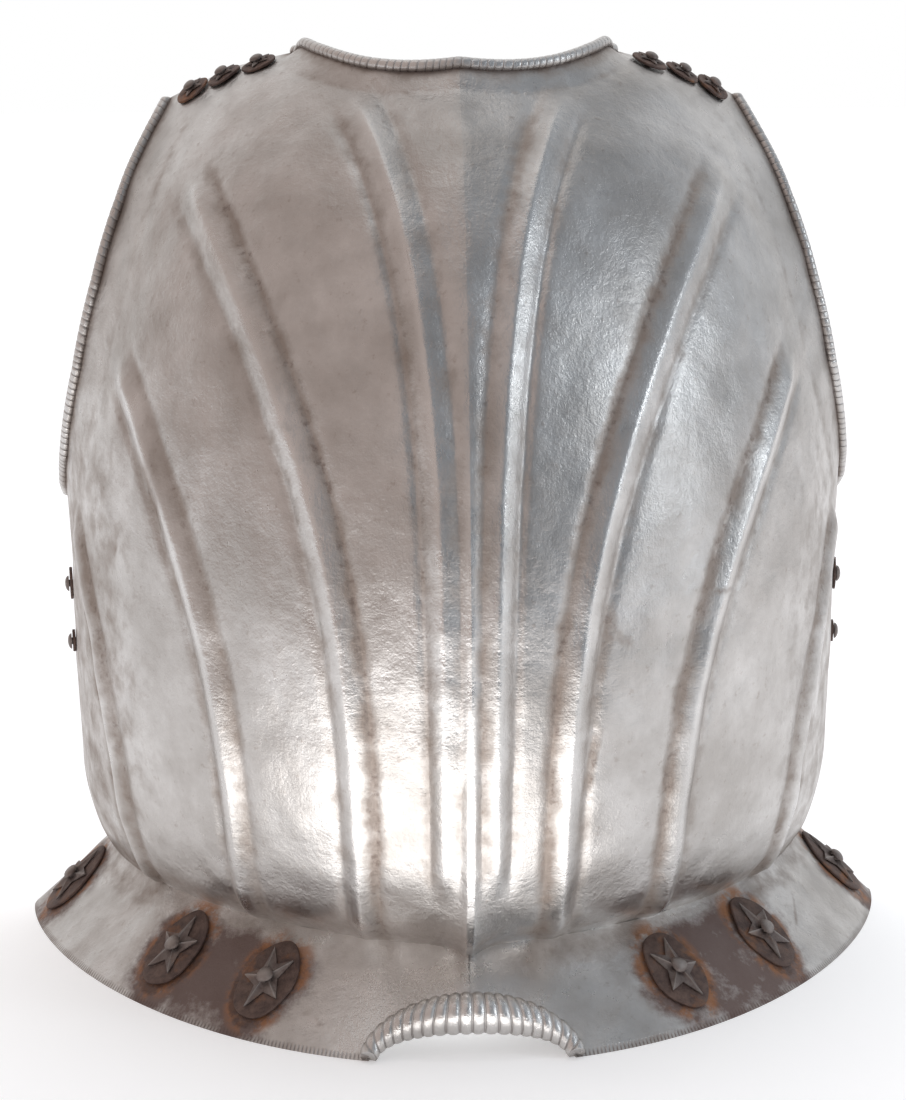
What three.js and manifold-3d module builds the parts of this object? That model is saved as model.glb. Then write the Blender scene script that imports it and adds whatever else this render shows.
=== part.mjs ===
// Front plate of a fluted steel cuirass, standing on the rim of its waist flange.
// Millimetres, +Z up, the wearer's front faces -Y, the origin is under the middle of the plate.
import * as THREE from 'three';
import { mergeVertices } from 'three/addons/utils/BufferGeometryUtils.js';
import Module from 'manifold-3d';

const wasm = await Module();
wasm.setup();

// ---------------------------------------------------------------- driving sizes
const PLATE = 1.8;              // thickness of the forged sheet
const GAP = 0.4;                // air between two pieces that lie on each other
const REAR_Y = 107.5;           // both rear side edges lie in this plane
const WAIST_Z = 37;             // height of the waist crease over the rim
const EDGE_ROLL = 2.6;          // radius of the turned edge at neck and arms
const ARCH_ROLL = 9.2;          // radius of the bold roll over the crotch cut-out
const ARCH_END_ROLL = 4.2;      // radius of the same roll at its two ends
const ARCH_HALF = 44.5;         // half width of the cut-out, measured along the rim
const ARCH_RISE = 13;           // height of the cut-out at its middle
const RIM = { width: 212, depth: 218, point: 2.0, round: 0.66 };

// Horizontal sections of the body. v runs up the middle of the plate, z is the height there,
// width is half the breadth, depth is from the rear edges to the middle of the front, point is
// 2 on an oval and less where the front comes to a blunt point, round is 0.5 on an oval and more
// where the sides are flatter, drop is how much lower the section is at its sides.
const SECTIONS = [
  { v: 0.00, z: 37, width: 172, depth: 170, point: 1.62, round: 0.60, drop: 0 },
  { v: 0.03, z: 46, width: 177, depth: 182, point: 1.66, round: 0.58, drop: 0 },
  { v: 0.09, z: 68, width: 183, depth: 195, point: 1.72, round: 0.56, drop: 0 },
  { v: 0.19, z: 109, width: 185, depth: 206, point: 1.78, round: 0.54, drop: 0 },
  { v: 0.32, z: 168, width: 186, depth: 212, point: 1.82, round: 0.53, drop: 0 },
  { v: 0.44, z: 222, width: 186, depth: 210, point: 1.84, round: 0.52, drop: 0 },
  { v: 0.58, z: 280, width: 180, depth: 199, point: 1.86, round: 0.52, drop: 2 },
  { v: 0.71, z: 333, width: 169, depth: 179, point: 1.86, round: 0.52, drop: 6 },
  { v: 0.82, z: 373, width: 156, depth: 152, point: 1.88, round: 0.52, drop: 12 },
  { v: 0.91, z: 400, width: 145, depth: 122, point: 1.90, round: 0.52, drop: 20 },
  { v: 1.00, z: 421, width: 135, depth: 88, point: 2.00, round: 0.52, drop: 26 },
  { v: 1.07, z: 428, width: 131, depth: 56, point: 2.00, round: 0.52, drop: 27 },
  { v: 1.13, z: 428, width: 128, depth: 25, point: 2.00, round: 0.52, drop: 27 },
];

// Lines that fan up over one half of the plate. waist and top are angles round the section,
// reach is v at the plate's edge, bend says how late the line leaves the vertical, and lean
// turns the foot of the line to the same hand on both halves, as hand work does.
// The flutes run along four of them, and the tops together are the plate's edge.
const FAN = [
  { name: 'keel', waist: 0, top: 0, reach: 0.957, bend: 1.0, lean: 0 },
  { name: 'flute_1', waist: 3.4, top: 27.5, reach: 1.013, bend: 5.0, lean: 0 },
  { name: 'neck_side', waist: 5.6, top: 31.5, reach: 1.045, bend: 4.7, lean: 0 },
  { name: 'neck_corner', waist: 7.6, top: 34, reach: 1.057, bend: 4.4, lean: -0.2 },
  { name: 'shoulder', waist: 9.3, top: 55, reach: 1.065, bend: 4.2, lean: -0.5 },
  { name: 'arm_corner', waist: 11, top: 73.8, reach: 1.005, bend: 4.0, lean: -0.8 },
  { name: 'arm_upper', waist: 12.5, top: 73.2, reach: 0.98, bend: 3.7, lean: -1 },
  { name: 'flute_2', waist: 13.8, top: 72.4, reach: 0.955, bend: 3.33, lean: -1.2 },
  { name: 'arm_middle', waist: 22.5, top: 69.6, reach: 0.79, bend: 3.15, lean: -1.6 },
  { name: 'flute_3', waist: 31.4, top: 69.7, reach: 0.685, bend: 2.98, lean: -2 },
  { name: 'arm_lower', waist: 44, top: 72.5, reach: 0.58, bend: 2.6, lean: -1.6 },
  { name: 'flute_4', waist: 56.5, top: 79, reach: 0.472, bend: 2.1, lean: -0.8 },
  { name: 'flank', waist: 72, top: 84, reach: 0.435, bend: 1.6, lean: 0 },
  { name: 'side', waist: 90, top: 90, reach: 0.415, bend: 1.0, lean: 0 },
];
const NECK_DIP = 3;             // how late the neck edge rises between the keel and flute_1
const lineIndex = (name) => FAN.findIndex((row) => row.name === name);

// Flutes: half width at the waist and at the top, height of the ridge, and the stretch of the
// line, as a fraction of its length, over which the ridge is full.
const FLUTES = [
  { line: 'flute_1', low: 4.6, high: 8.5, height: 2.6, from: 0.14, to: 0.865 },
  { line: 'flute_2', low: 6.4, high: 9.5, height: 3.4, from: 0.05, to: 0.815 },
  { line: 'flute_3', low: 6.4, high: 9.0, height: 3.4, from: 0.05, to: 0.835 },
  { line: 'flute_4', low: 6.0, high: 8.0, height: 3.0, from: 0.05, to: 0.82 },
];
const FLUTE_FADE = 0.07;        // fraction of the line over which a ridge dies away
const RIDGE_CURVE = 1.15;       // 1 is a ridge with straight sides, more hollows them
const VALLEY_DEPTH = 0.7;       // hollow along each foot of a flute
const VALLEY_WIDTH = 5;
const VALLEY_PLACE = 1.25;      // middle of the hollow, in half widths from the crest
const KEEL_CREST = 1.3;         // half width of the flat on the keel
const KEEL = [
  { v: 0.0, height: 6.5, spread: 5 },
  { v: 0.2, height: 5.5, spread: 9 },
  { v: 0.5, height: 4.5, spread: 16 },
  { v: 1.0, height: 3.0, spread: 20 },
];
// collar band below the neck roll: none of it at the corners, all of it a little further in
const NECK_FLARE = { height: 4.5, width: 13, none: 0.1, full: 0.24 };
// border beside the arm roll: it lowers to the share called low from lowFrom of the way down
const ARM_FLARE = { height: 4.0, width: 30, low: 0.3, lowFrom: 0.5, curve: 1.2 };
const DROP_GATHER = 3;          // how strongly a section's drop gathers at its sides

// Grid of the plate: columns as places between fan lines, rows as fractions of a fan line.
const HALF_COLUMNS = [
  0.14, 0.5, 0.75, 1, 1.4, 2, 3, 3.15, 4, 4.85, 5, 6, 6.6, 7, 7.2, 7.42, 8, 8.6, 8.83, 9,
  9.15, 9.35, 10, 10.7, 10.87, 11, 11.13, 11.4, 12, 12.6, 13,
];
const COLUMNS = [...HALF_COLUMNS.map((c) => -c).reverse(), ...HALF_COLUMNS];
const BODY_ROWS = [
  0, 0.03, 0.08, 0.15, 0.25, 0.36, 0.47, 0.57, 0.66, 0.74, 0.81, 0.87, 0.92, 0.955, 0.978, 1,
];
const FLANGE_ROWS = [1, 0.72, 0.36, 0.09];
const ROLL_STEPS = 7;           // sides of a turned edge that show
const MERGE = 1e-4;             // points nearer than this are one point

// Rosettes on the flange: angle round the section, way down from waist to rim, and the degrees
// by which the star is turned.
const FLANGE_ROSETTES = [
  { name: 'left_outer', angle: -80, down: 0.47, turn: 90 },
  { name: 'left_middle', angle: -43.6, down: 0.47, turn: 20 },
  { name: 'left_inner', angle: -27.5, down: 0.5, turn: 40 },
  { name: 'right_inner', angle: 29, down: 0.5, turn: 0 },
  { name: 'right_middle', angle: 46.6, down: 0.47, turn: 30 },
  { name: 'right_outer', angle: 82, down: 0.46, turn: 90 },
];
const SHOULDER_ROSETTES = [
  { name: 'left_outer', angle: -62.2, v: 1.01 },
  { name: 'left_middle', angle: -51.9, v: 1.028 },
  { name: 'left_inner', angle: -41.8, v: 1.03 },
  { name: 'right_inner', angle: 41.8, v: 1.03 },
  { name: 'right_middle', angle: 51.9, v: 1.028 },
  { name: 'right_outer', angle: 62.2, v: 1.01 },
];
const SIDE_RIVETS = [
  { name: 'left_upper', angle: -83, v: 0.325, washer: 8 },
  { name: 'left_lower', angle: -83, v: 0.262, washer: 5.5 },
  { name: 'right_upper', angle: 83, v: 0.325, washer: 8 },
  { name: 'right_lower', angle: 83, v: 0.262, washer: 5.5 },
];
const FLANGE_SET = { disc: 18, thick: 1.6, star: 14.5, raise: 2.2, head: 4, shank: 2.2, lift: 0 };
const SHOULDER_SET = { disc: 8.6, thick: 1.2, star: 7, raise: 1.0, head: 3.2, shank: 1.7, lift: 0.3 };
const SIDE_SET = { thick: 1.4, head: 3.8, shank: 1.7 };
const FLANGE_OVAL = [0.8, 1.18];   // flange discs and stars: breadth and height over round
const ROUND = [1, 1];
const STAR_POINTS = 5;
const STAR_WAIST = 0.46;        // notch radius over tip radius
// heights on a star over its raise: rim at a tip, rim at a notch, middle toward each of them
const STAR_RISE = { tip: 0.45, notch: 0.3, arris: 1, valley: 0.55 };
const DISC_EDGE = 0.8;          // height of a disc's edge over the height of its middle
const HEAD = { rise: 0.5, shoulder: 0.72 };   // dome of a rivet, in radii of its head
const TAIL = { gap: 1.3, thick: 1.2, spread: 1.7 };   // peened end: air, height, radius over shank
const HOLE_PLAY = 0.5;          // shank radius to hole radius
const HOLE_REACH = 6 * PLATE;   // length of a drilled hole's cutter

// ---------------------------------------------------------------- fineness
const TANGENT_STEP = 0.004;     // step between two points that give the sheet's direction
const SEAT_STEP = 0.02;         // the same under a rosette, where the relief is averaged
const LINE_STEPS = 32;          // straight steps of a flute line
const EDGE_STEPS = 48;          // straight steps of a neck or arm edge
const ROUND_SIDES = 10;
const RIVET_SIDES = 8;

// ---------------------------------------------------------------- small helpers
const radians = THREE.MathUtils.degToRad;
const clamp = THREE.MathUtils.clamp;
const lerp = THREE.MathUtils.lerp;
const smooth = THREE.MathUtils.smoothstep;

// slope of a table column at row i, weighted by the spacing of its neighbours
function slopeAt(rows, at, key, i) {
  const last = rows.length - 1;
  if (i === 0 || i === last) {
    const [a, b] = i === 0 ? [0, 1] : [last - 1, last];
    return (rows[b][key] - rows[a][key]) / (rows[b][at] - rows[a][at]);
  }
  const before = rows[i][at] - rows[i - 1][at];
  const after = rows[i + 1][at] - rows[i][at];
  const sum = before ** 2 * rows[i + 1][key] + (after ** 2 - before ** 2) * rows[i][key]
    - after ** 2 * rows[i - 1][key];
  return sum / (before * after * (before + after));
}

// smooth cubic through a column of a table
function along(rows, at, key, x) {
  let i = rows.findIndex((row) => row[at] >= x) - 1;
  if (i === -2) i = rows.length - 2;
  i = clamp(i, 0, rows.length - 2);
  const span = rows[i + 1][at] - rows[i][at];
  const s = (x - rows[i][at]) / span;
  const a = rows[i][key];
  const b = rows[i + 1][key];
  const da = slopeAt(rows, at, key, i) * span;
  const db = slopeAt(rows, at, key, i + 1) * span;
  return (2 * s ** 3 - 3 * s ** 2 + 1) * a + (s ** 3 - 2 * s ** 2 + s) * da
    + (3 * s ** 2 - 2 * s ** 3) * b + (s ** 3 - s ** 2) * db;
}

// outline of a section: angle 0 is the middle of the front, 90 degrees a rear side edge
function outline(angle, width, depth, point, round) {
  const u = Math.sin(angle);
  const fall = Math.max(1 - Math.abs(u) ** point, 0);
  return [width * u, REAR_Y - depth * fall ** round];
}

// ---------------------------------------------------------------- the plate's surface
// v > 0 is the body, v from 0 to -1 the flange, straight from the waist crease to the rim
function bareSurface(angle, v) {
  if (v >= 0) {
    const [z, width, depth, point, round, drop] = ['z', 'width', 'depth', 'point', 'round', 'drop']
      .map((key) => along(SECTIONS, 'v', key, v));
    const [x, y] = outline(angle, width, depth, point, round);
    return new THREE.Vector3(x, y, z - drop * Math.abs(Math.sin(angle)) ** DROP_GATHER);
  }
  const waist = bareSurface(angle, 0);
  const [x, y] = outline(angle, RIM.width, RIM.depth, RIM.point, RIM.round);
  return waist.lerp(new THREE.Vector3(x, y, 0), -v);
}

// direction in which the surface faces, away from the wearer
function facing(angle, v) {
  const step = TANGENT_STEP;
  const inner = clamp(angle, -Math.PI / 2 + 2 * step, Math.PI / 2 - 2 * step);
  const across = bareSurface(inner + step, v).sub(bareSurface(inner - step, v));
  const up = bareSurface(inner, v + step).sub(bareSurface(inner, v - step));
  return across.cross(up).normalize();
}

// a place on a fan line: column c counts lines from the keel, t runs from the waist to the edge
function onFan(column, t) {
  const c = Math.min(Math.abs(column), FAN.length - 1);
  const i = Math.min(Math.floor(c), FAN.length - 2);
  const [waist, top, bend, lean] = ['waist', 'top', 'bend', 'lean']
    .map((key) => lerp(FAN[i][key], FAN[i + 1][key], c - i));
  const reach = lerp(FAN[i].reach, FAN[i + 1].reach, i === 0 ? c ** NECK_DIP : c - i);
  const turn = t ** bend;
  const angle = Math.sign(column) * lerp(waist, top, turn) + lean * (1 - turn);
  return { angle: radians(angle), v: reach * t };
}

function linePoints(columnAt, tAt, steps) {
  return Array.from({ length: steps + 1 }, (_, k) => {
    const { angle, v } = onFan(columnAt(k / steps), tAt(k / steps));
    return bareSurface(angle, v);
  });
}

// nearest place of a polyline: how far it is, and how far along
function nearest(line, point) {
  let best = { distance: Infinity, along: 0 };
  const segment = new THREE.Line3();
  const foot = new THREE.Vector3();
  for (let k = 0; k < line.length - 1; k += 1) {
    segment.set(line[k], line[k + 1]);
    const part = segment.closestPointToPointParameter(point, true);
    const distance = segment.at(part, foot).distanceTo(point);
    if (distance < best.distance) {
      best = { distance, along: (k + part) / (line.length - 1) };
    }
  }
  return best;
}

const fluteLines = [-1, 1].flatMap((side) => FLUTES.map((flute) => ({
  ...flute,
  side,
  points: linePoints(() => side * lineIndex(flute.line), (s) => s, LINE_STEPS),
})));
const neckEnd = lineIndex('neck_corner');
const neckEdge = linePoints((s) => lerp(-neckEnd, neckEnd, s), () => 1, EDGE_STEPS);
const armEdges = [-1, 1].map((side) => linePoints(
  (s) => side * lerp(lineIndex('arm_corner'), lineIndex('side'), s), () => 1, EDGE_STEPS));

function keelRelief(point, v) {
  const height = along(KEEL, 'v', 'height', Math.max(v, 0));
  const spread = along(KEEL, 'v', 'spread', Math.max(v, 0));
  return height * Math.exp(-Math.max(Math.abs(point.x) - KEEL_CREST, 0) / spread);
}

// a ridge with a crisp crest and a shallow hollow along each foot
function fluteRelief(point) {
  return fluteLines.reduce((sum, flute) => {
    if (point.x * flute.side < 0) return sum;
    const { distance, along: s } = nearest(flute.points, point);
    const half = lerp(flute.low, flute.high, s);
    const full = smooth(s, flute.from - FLUTE_FADE, flute.from)
      * (1 - smooth(s, flute.to, flute.to + FLUTE_FADE));
    const ridge = flute.height * Math.max(1 - distance / half, 0) ** RIDGE_CURVE;
    const fromValley = (distance - half * VALLEY_PLACE) / (VALLEY_WIDTH / 2);
    const hollow = VALLEY_DEPTH * Math.exp(-(fromValley ** 2));
    return sum + full * (ridge - hollow);
  }, 0);
}

// borders that turn outward to the edge rolls, fading where the rolls end
function flareRelief(point) {
  const neck = nearest(neckEdge, point);
  const fromCorner = Math.min(neck.along, 1 - neck.along);
  const neckPart = smooth(fromCorner, NECK_FLARE.none, NECK_FLARE.full);
  const neckRise = NECK_FLARE.height * neckPart * Math.max(1 - neck.distance / NECK_FLARE.width, 0);
  const arm = nearest(armEdges[point.x < 0 ? 0 : 1], point);
  const armPart = lerp(1, ARM_FLARE.low, smooth(arm.along, ARM_FLARE.lowFrom, 1));
  const armRise = ARM_FLARE.height * armPart
    * Math.max(1 - arm.distance / ARM_FLARE.width, 0) ** ARM_FLARE.curve;
  return Math.max(neckRise, armRise);
}

// outer face of the plate with its keel, flutes and turned-out borders
function plateSurface(angle, v) {
  const point = bareSurface(angle, v);
  if (v < 0) return point;
  const relief = keelRelief(point, v) + fluteRelief(point) + flareRelief(point);
  return point.addScaledVector(facing(angle, v), relief);
}

// ---------------------------------------------------------------- the plate as a grid
// way down the flange at which the plate ends: the rim, or the edge of the arched cut-out
function flangeEnd(column) {
  const { angle } = onFan(column, 0);
  const x = Math.abs(RIM.width * Math.sin(angle));
  if (x >= ARCH_HALF) return 1;
  return 1 - (ARCH_RISE / WAIST_Z) * Math.sqrt(1 - (x / ARCH_HALF) ** 2);
}

function topRoll(column) {
  const c = Math.abs(column);
  const onNeck = c <= neckEnd;
  const onArm = c >= lineIndex('arm_corner');
  return onNeck || onArm ? EDGE_ROLL : PLATE / 2;
}

function archRoll(column) {
  const { angle } = onFan(column, 0);
  const way = Math.abs(RIM.width * Math.sin(angle)) / ARCH_HALF;
  return lerp(ARCH_ROLL, ARCH_END_ROLL, clamp(way, 0, 1) ** 2);
}

// The turned edge: a round bead that stands on the outer face and whose back is flush with the
// inner face. It starts in the crease on the outer face and ends at the inner face.
function beadArc(root, out, normal, radius) {
  const crease = 2 * Math.PI - Math.acos(clamp((radius - PLATE) / radius, -1, 1));
  return Array.from({ length: ROLL_STEPS + 1 }, (_, k) => {
    const turn = crease * (1 - k / ROLL_STEPS);
    return root.clone()
      .addScaledVector(out, radius * Math.sin(turn))
      .addScaledVector(normal, radius * (1 - Math.cos(turn)));
  });
}

// direction past an edge, square to it and in the plate's face
function pastEdge(roots, i, normal, inside) {
  const before = roots[Math.max(i - 1, 0)];
  const after = roots[Math.min(i + 1, roots.length - 1)];
  const out = after.clone().sub(before).cross(normal).normalize();
  const away = roots[i].clone().sub(inside);
  return out.dot(away) < 0 ? out.negate() : out;
}

// wall from the outer rim point to where the inner face meets the floor
function rimFoot(outer, above, normal) {
  const down = outer.clone().sub(above).normalize();
  const inner = outer.clone().addScaledVector(normal, -PLATE);
  return inner.addScaledVector(down, -inner.z / down.z);
}

// one closed loop round the wall for each column: outer face up, top edge, inner face down, rim
function plateLoops() {
  const columns = COLUMNS.map((column) => {
    const end = flangeEnd(column);
    const places = [
      ...FLANGE_ROWS.map((row) => ({ angle: onFan(column, 0).angle, v: -row * end })),
      ...BODY_ROWS.map((t) => onFan(column, t)),
    ];
    const normals = places.map(({ angle, v }) => facing(angle, v));
    const outer = places.map(({ angle, v }) => plateSurface(angle, v));
    const inner = outer.map((point, k) => point.clone().addScaledVector(normals[k], -PLATE));
    return { column, end, normals, outer, inner };
  });
  const tops = columns.map(({ inner }) => inner.at(-1));
  const feet = columns.map(({ inner }) => inner[0]);
  return columns.map(({ column, end, normals, outer, inner }, i) => {
    const out = pastEdge(tops, i, normals.at(-1), inner.at(-2));
    const top = beadArc(tops[i], out, normals.at(-1), topRoll(column));
    let low;
    if (end < 1) {
      const down = pastEdge(feet, i, normals[0], inner[1]);
      low = beadArc(feet[i], down, normals[0], archRoll(column)).reverse();
    } else {
      const foot = rimFoot(outer[0], outer[1], normals[0]);
      low = Array.from({ length: ROLL_STEPS + 1 }, (_, k) => (
        foot.clone().lerp(outer[0], k / ROLL_STEPS)));
    }
    return {
      outer: [low.at(-1), ...outer.slice(1, -1), top[0]],
      top: top.slice(1, -1),
      inner: [low[0], ...inner.slice(1)],
      low: low.slice(1, -1),
    };
  });
}

// closed mesh from the loops, with the two rear side edges closed by flat ends
function plateGeometry() {
  const loops = plateLoops();
  const rows = loops[0].outer.length;
  const ring = loops.map(({ outer, top, inner, low }) => [
    ...outer, ...top, ...[...inner].reverse(), ...low]);
  const count = ring[0].length;
  const index = [];
  const points = ring.flat();
  const quad = (a, b, c, d) => {
    const shorter = points[a].distanceTo(points[c]) < points[b].distanceTo(points[d]);
    index.push(...(shorter ? [a, b, c, a, c, d] : [a, b, d, b, c, d]));
  };
  const at = (i, j) => i * count + (j % count);
  for (let i = 0; i < ring.length - 1; i += 1) {
    for (let j = 0; j < count; j += 1) {
      quad(at(i, j), at(i + 1, j), at(i + 1, j + 1), at(i, j + 1));
    }
  }
  const innerStart = rows + loops[0].top.length;
  const innerAt = (k) => innerStart + rows - 1 - k;
  const faces = [];
  for (let k = 0; k < rows - 1; k += 1) {
    faces.push([k, k + 1, innerAt(k + 1)], [k, innerAt(k + 1), innerAt(k)]);
  }
  for (let j = rows - 1; j < innerStart - 1; j += 1) faces.push([j, j + 1, innerStart]);
  for (let j = innerAt(0); j < count - 1; j += 1) faces.push([j, j + 1, 0]);
  const last = ring.length - 1;
  faces.forEach(([a, b, c]) => {
    index.push(at(0, a), at(0, b), at(0, c));
    index.push(at(last, a), at(last, c), at(last, b));
  });
  const geometry = new THREE.BufferGeometry().setFromPoints(points);
  geometry.setIndex(index);
  return geometry;
}

// ---------------------------------------------------------------- joins and cuts
function toSolid(geometry) {
  const bare = geometry.clone();
  bare.deleteAttribute('normal');
  bare.deleteAttribute('uv');
  const merged = mergeVertices(bare, MERGE);
  return new wasm.Manifold(new wasm.Mesh({
    numProp: 3,
    vertProperties: new Float32Array(merged.attributes.position.array),
    triVerts: new Uint32Array(merged.index.array),
  }));
}

function toGeometry(solid) {
  const mesh = solid.getMesh();
  const geometry = new THREE.BufferGeometry();
  geometry.setAttribute('position', new THREE.BufferAttribute(mesh.vertProperties, 3));
  geometry.setIndex(new THREE.BufferAttribute(mesh.triVerts, 1));
  return geometry;
}

// ---------------------------------------------------------------- seats of the rivets
// A seat is a place on the plate with its own axes: right along the plate, up along it, and out.
function seatAt(angle, v) {
  const step = SEAT_STEP;
  const origin = plateSurface(angle, v);
  const slope = (da, dv) => plateSurface(angle + da, v + dv)
    .sub(plateSurface(angle - da, v - dv)).divideScalar(2 * step);
  const byAngle = slope(step, 0);
  const byV = slope(0, step);
  const out = byAngle.clone().cross(byV).normalize();
  const up = new THREE.Vector3(0, 0, 1).addScaledVector(out, -out.z).normalize();
  const right = up.clone().cross(out).normalize();
  const a = byAngle.dot(right);
  const b = byV.dot(right);
  const c = byAngle.dot(up);
  const d = byV.dot(up);
  const det = a * d - b * c;
  // point over the plate at (x, y) in the seat's own plane and at a height along its axis
  const over = (x, y, height) => {
    const da = (d * x - b * y) / det;
    const dv = (a * y - c * x) / det;
    return plateSurface(angle + da, v + dv).addScaledVector(out, height);
  };
  return { origin, out, right, up, over };
}

// ring of points round a seat, stretched along and up the plate by the two numbers of oval
function ringOver(seat, radius, height, { sides = ROUND_SIDES, turn = 0, oval = ROUND } = {}) {
  return Array.from({ length: sides }, (_, k) => {
    const a = turn + (2 * Math.PI * k) / sides;
    const r = typeof radius === 'function' ? radius(k) : radius;
    const h = typeof height === 'function' ? height(k) : height;
    return seat.over(r * oval[0] * Math.cos(a), r * oval[1] * Math.sin(a), h);
  });
}

// solid whose rings follow one another round a tube-like closed loop
function ringsGeometry(rings) {
  const sides = rings[0].length;
  const index = [];
  rings.forEach((_, i) => {
    const next = (i + 1) % rings.length;
    for (let k = 0; k < sides; k += 1) {
      const kk = (k + 1) % sides;
      index.push(i * sides + k, i * sides + kk, next * sides + kk);
      index.push(i * sides + k, next * sides + kk, next * sides + k);
    }
  });
  const geometry = new THREE.BufferGeometry().setFromPoints(rings.flat());
  geometry.setIndex(index);
  return geometry;
}

// disc or washer that lies on the plate and follows its curve
function discGeometry(seat, radius, base, thick, hole, oval = ROUND) {
  const middle = (radius + hole) / 2;
  const top = base + thick;
  return ringsGeometry([
    ringOver(seat, hole, base), ringOver(seat, middle, base, { oval }),
    ringOver(seat, radius, base, { oval }), ringOver(seat, radius, base + thick * DISC_EDGE, { oval }),
    ringOver(seat, middle, top, { oval }), ringOver(seat, hole, top),
  ]);
}

// five-pointed star with a raised arris along each ray, open at its middle for the rivet
function starGeometry(seat, radius, base, raise, hole, turn, oval) {
  const isTip = (k) => k % 2 === 0;
  const edge = (k) => radius * (isTip(k) ? 1 : STAR_WAIST);
  const edgeTop = (k) => base + raise * (isTip(k) ? STAR_RISE.tip : STAR_RISE.notch);
  const hubTop = (k) => base + raise * (isTip(k) ? STAR_RISE.arris : STAR_RISE.valley);
  const sides = 2 * STAR_POINTS;
  return ringsGeometry([
    ringOver(seat, hole, base, { sides, turn }), ringOver(seat, edge, base, { sides, turn, oval }),
    ringOver(seat, edge, edgeTop, { sides, turn, oval }), ringOver(seat, hole, hubTop, { sides, turn }),
  ]);
}

// rivet: domed head over the pile, shank through it, flat peened tail inside the plate
function rivetGeometry(seat, head, shank, headBase) {
  const dome = head * HEAD.rise;
  const tail = -PLATE - TAIL.gap;
  const tailEnd = tail - TAIL.thick;
  const tailRadius = shank * TAIL.spread;
  const profile = [
    [0, tailEnd], [tailRadius, tailEnd], [tailRadius, tail], [shank, tail],
    [shank, headBase], [head, headBase],
    [head * HEAD.shoulder, headBase + dome * HEAD.shoulder], [0, headBase + dome],
  ].map(([r, h]) => new THREE.Vector2(r, h));
  const geometry = new THREE.LatheGeometry(profile, RIVET_SIDES);
  const basis = new THREE.Matrix4().makeBasis(
    seat.right, seat.out, seat.right.clone().cross(seat.out));
  geometry.applyMatrix4(basis);
  geometry.translate(seat.origin.x, seat.origin.y, seat.origin.z);
  return geometry;
}

function holeCutter(seat, shank) {
  const radius = shank + HOLE_PLAY;
  const cutter = new THREE.CylinderGeometry(radius, radius, HOLE_REACH, RIVET_SIDES);
  const turn = new THREE.Quaternion().setFromUnitVectors(new THREE.Vector3(0, 1, 0), seat.out);
  cutter.applyQuaternion(turn);
  cutter.translate(seat.origin.x, seat.origin.y, seat.origin.z);
  return toSolid(cutter);
}

// ---------------------------------------------------------------- the assembly
const STEEL = { color: 0x8f8a85, roughness: 0.32, metalness: 1 };
const IRON = { color: 0x4a3f3c, roughness: 0.7, metalness: 0.6 };
const WORN_IRON = { color: 0x6d635d, roughness: 0.5, metalness: 0.8 };

const cuirass = new THREE.Group();
const cutters = [];

function add(name, geometry, finish) {
  const mesh = new THREE.Mesh(geometry, new THREE.MeshStandardMaterial(finish));
  mesh.name = name;
  cuirass.add(mesh);
}

function addRosette(prefix, name, seat, set, turn, oval) {
  const hole = set.shank + HOLE_PLAY;
  const discBase = GAP + set.lift;
  const starBase = discBase + set.thick + GAP;
  add(`${prefix}_disc_${name}`, discGeometry(seat, set.disc, discBase, set.thick, hole, oval), IRON);
  add(`${prefix}_star_${name}`,
    starGeometry(seat, set.star, starBase, set.raise, hole, turn, oval), WORN_IRON);
  add(`${prefix}_rivet_${name}`,
    rivetGeometry(seat, set.head, set.shank, starBase + set.raise + GAP), IRON);
  cutters.push(holeCutter(seat, set.shank));
}

FLANGE_ROSETTES.forEach(({ name, angle, down, turn }) => {
  const seat = seatAt(radians(angle), -down);
  addRosette('flange', name, seat, FLANGE_SET, radians(turn), FLANGE_OVAL);
});
SHOULDER_ROSETTES.forEach(({ name, angle, v }) => {
  addRosette('shoulder', name, seatAt(radians(angle), v), SHOULDER_SET, Math.PI / 2, ROUND);
});
SIDE_RIVETS.forEach(({ name, angle, v, washer }) => {
  const seat = seatAt(radians(angle), v);
  const hole = SIDE_SET.shank + HOLE_PLAY;
  add(`side_washer_${name}`, discGeometry(seat, washer, GAP, SIDE_SET.thick, hole), IRON);
  add(`side_rivet_${name}`,
    rivetGeometry(seat, SIDE_SET.head, SIDE_SET.shank, 2 * GAP + SIDE_SET.thick), IRON);
  cutters.push(holeCutter(seat, SIDE_SET.shank));
});

const plate = cutters.reduce((solid, cutter) => solid.subtract(cutter), toSolid(plateGeometry()));
add('breastplate', toGeometry(plate), STEEL);

export default cuirass;
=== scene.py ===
# %% [markdown]
# # A fluted breastplate
# The front plate of a cuirass is one sheet of steel, raised by hammer into a round body with a
# keel down its middle, and turned outward at the waist into a flange. Four flutes on each half
# fan up from the waist. The neck and arm edges are rolled and roped, the fork is an arched
# cut-out with a bold fluted roll, and iron rosettes sit on the flange and on the shoulders.
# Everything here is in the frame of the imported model; lengths are worked out in millimetres
# and turned into metres only where a mesh is made.

# %% Load the frame
import bpy
import numpy as np
from mathutils import Matrix


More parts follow.
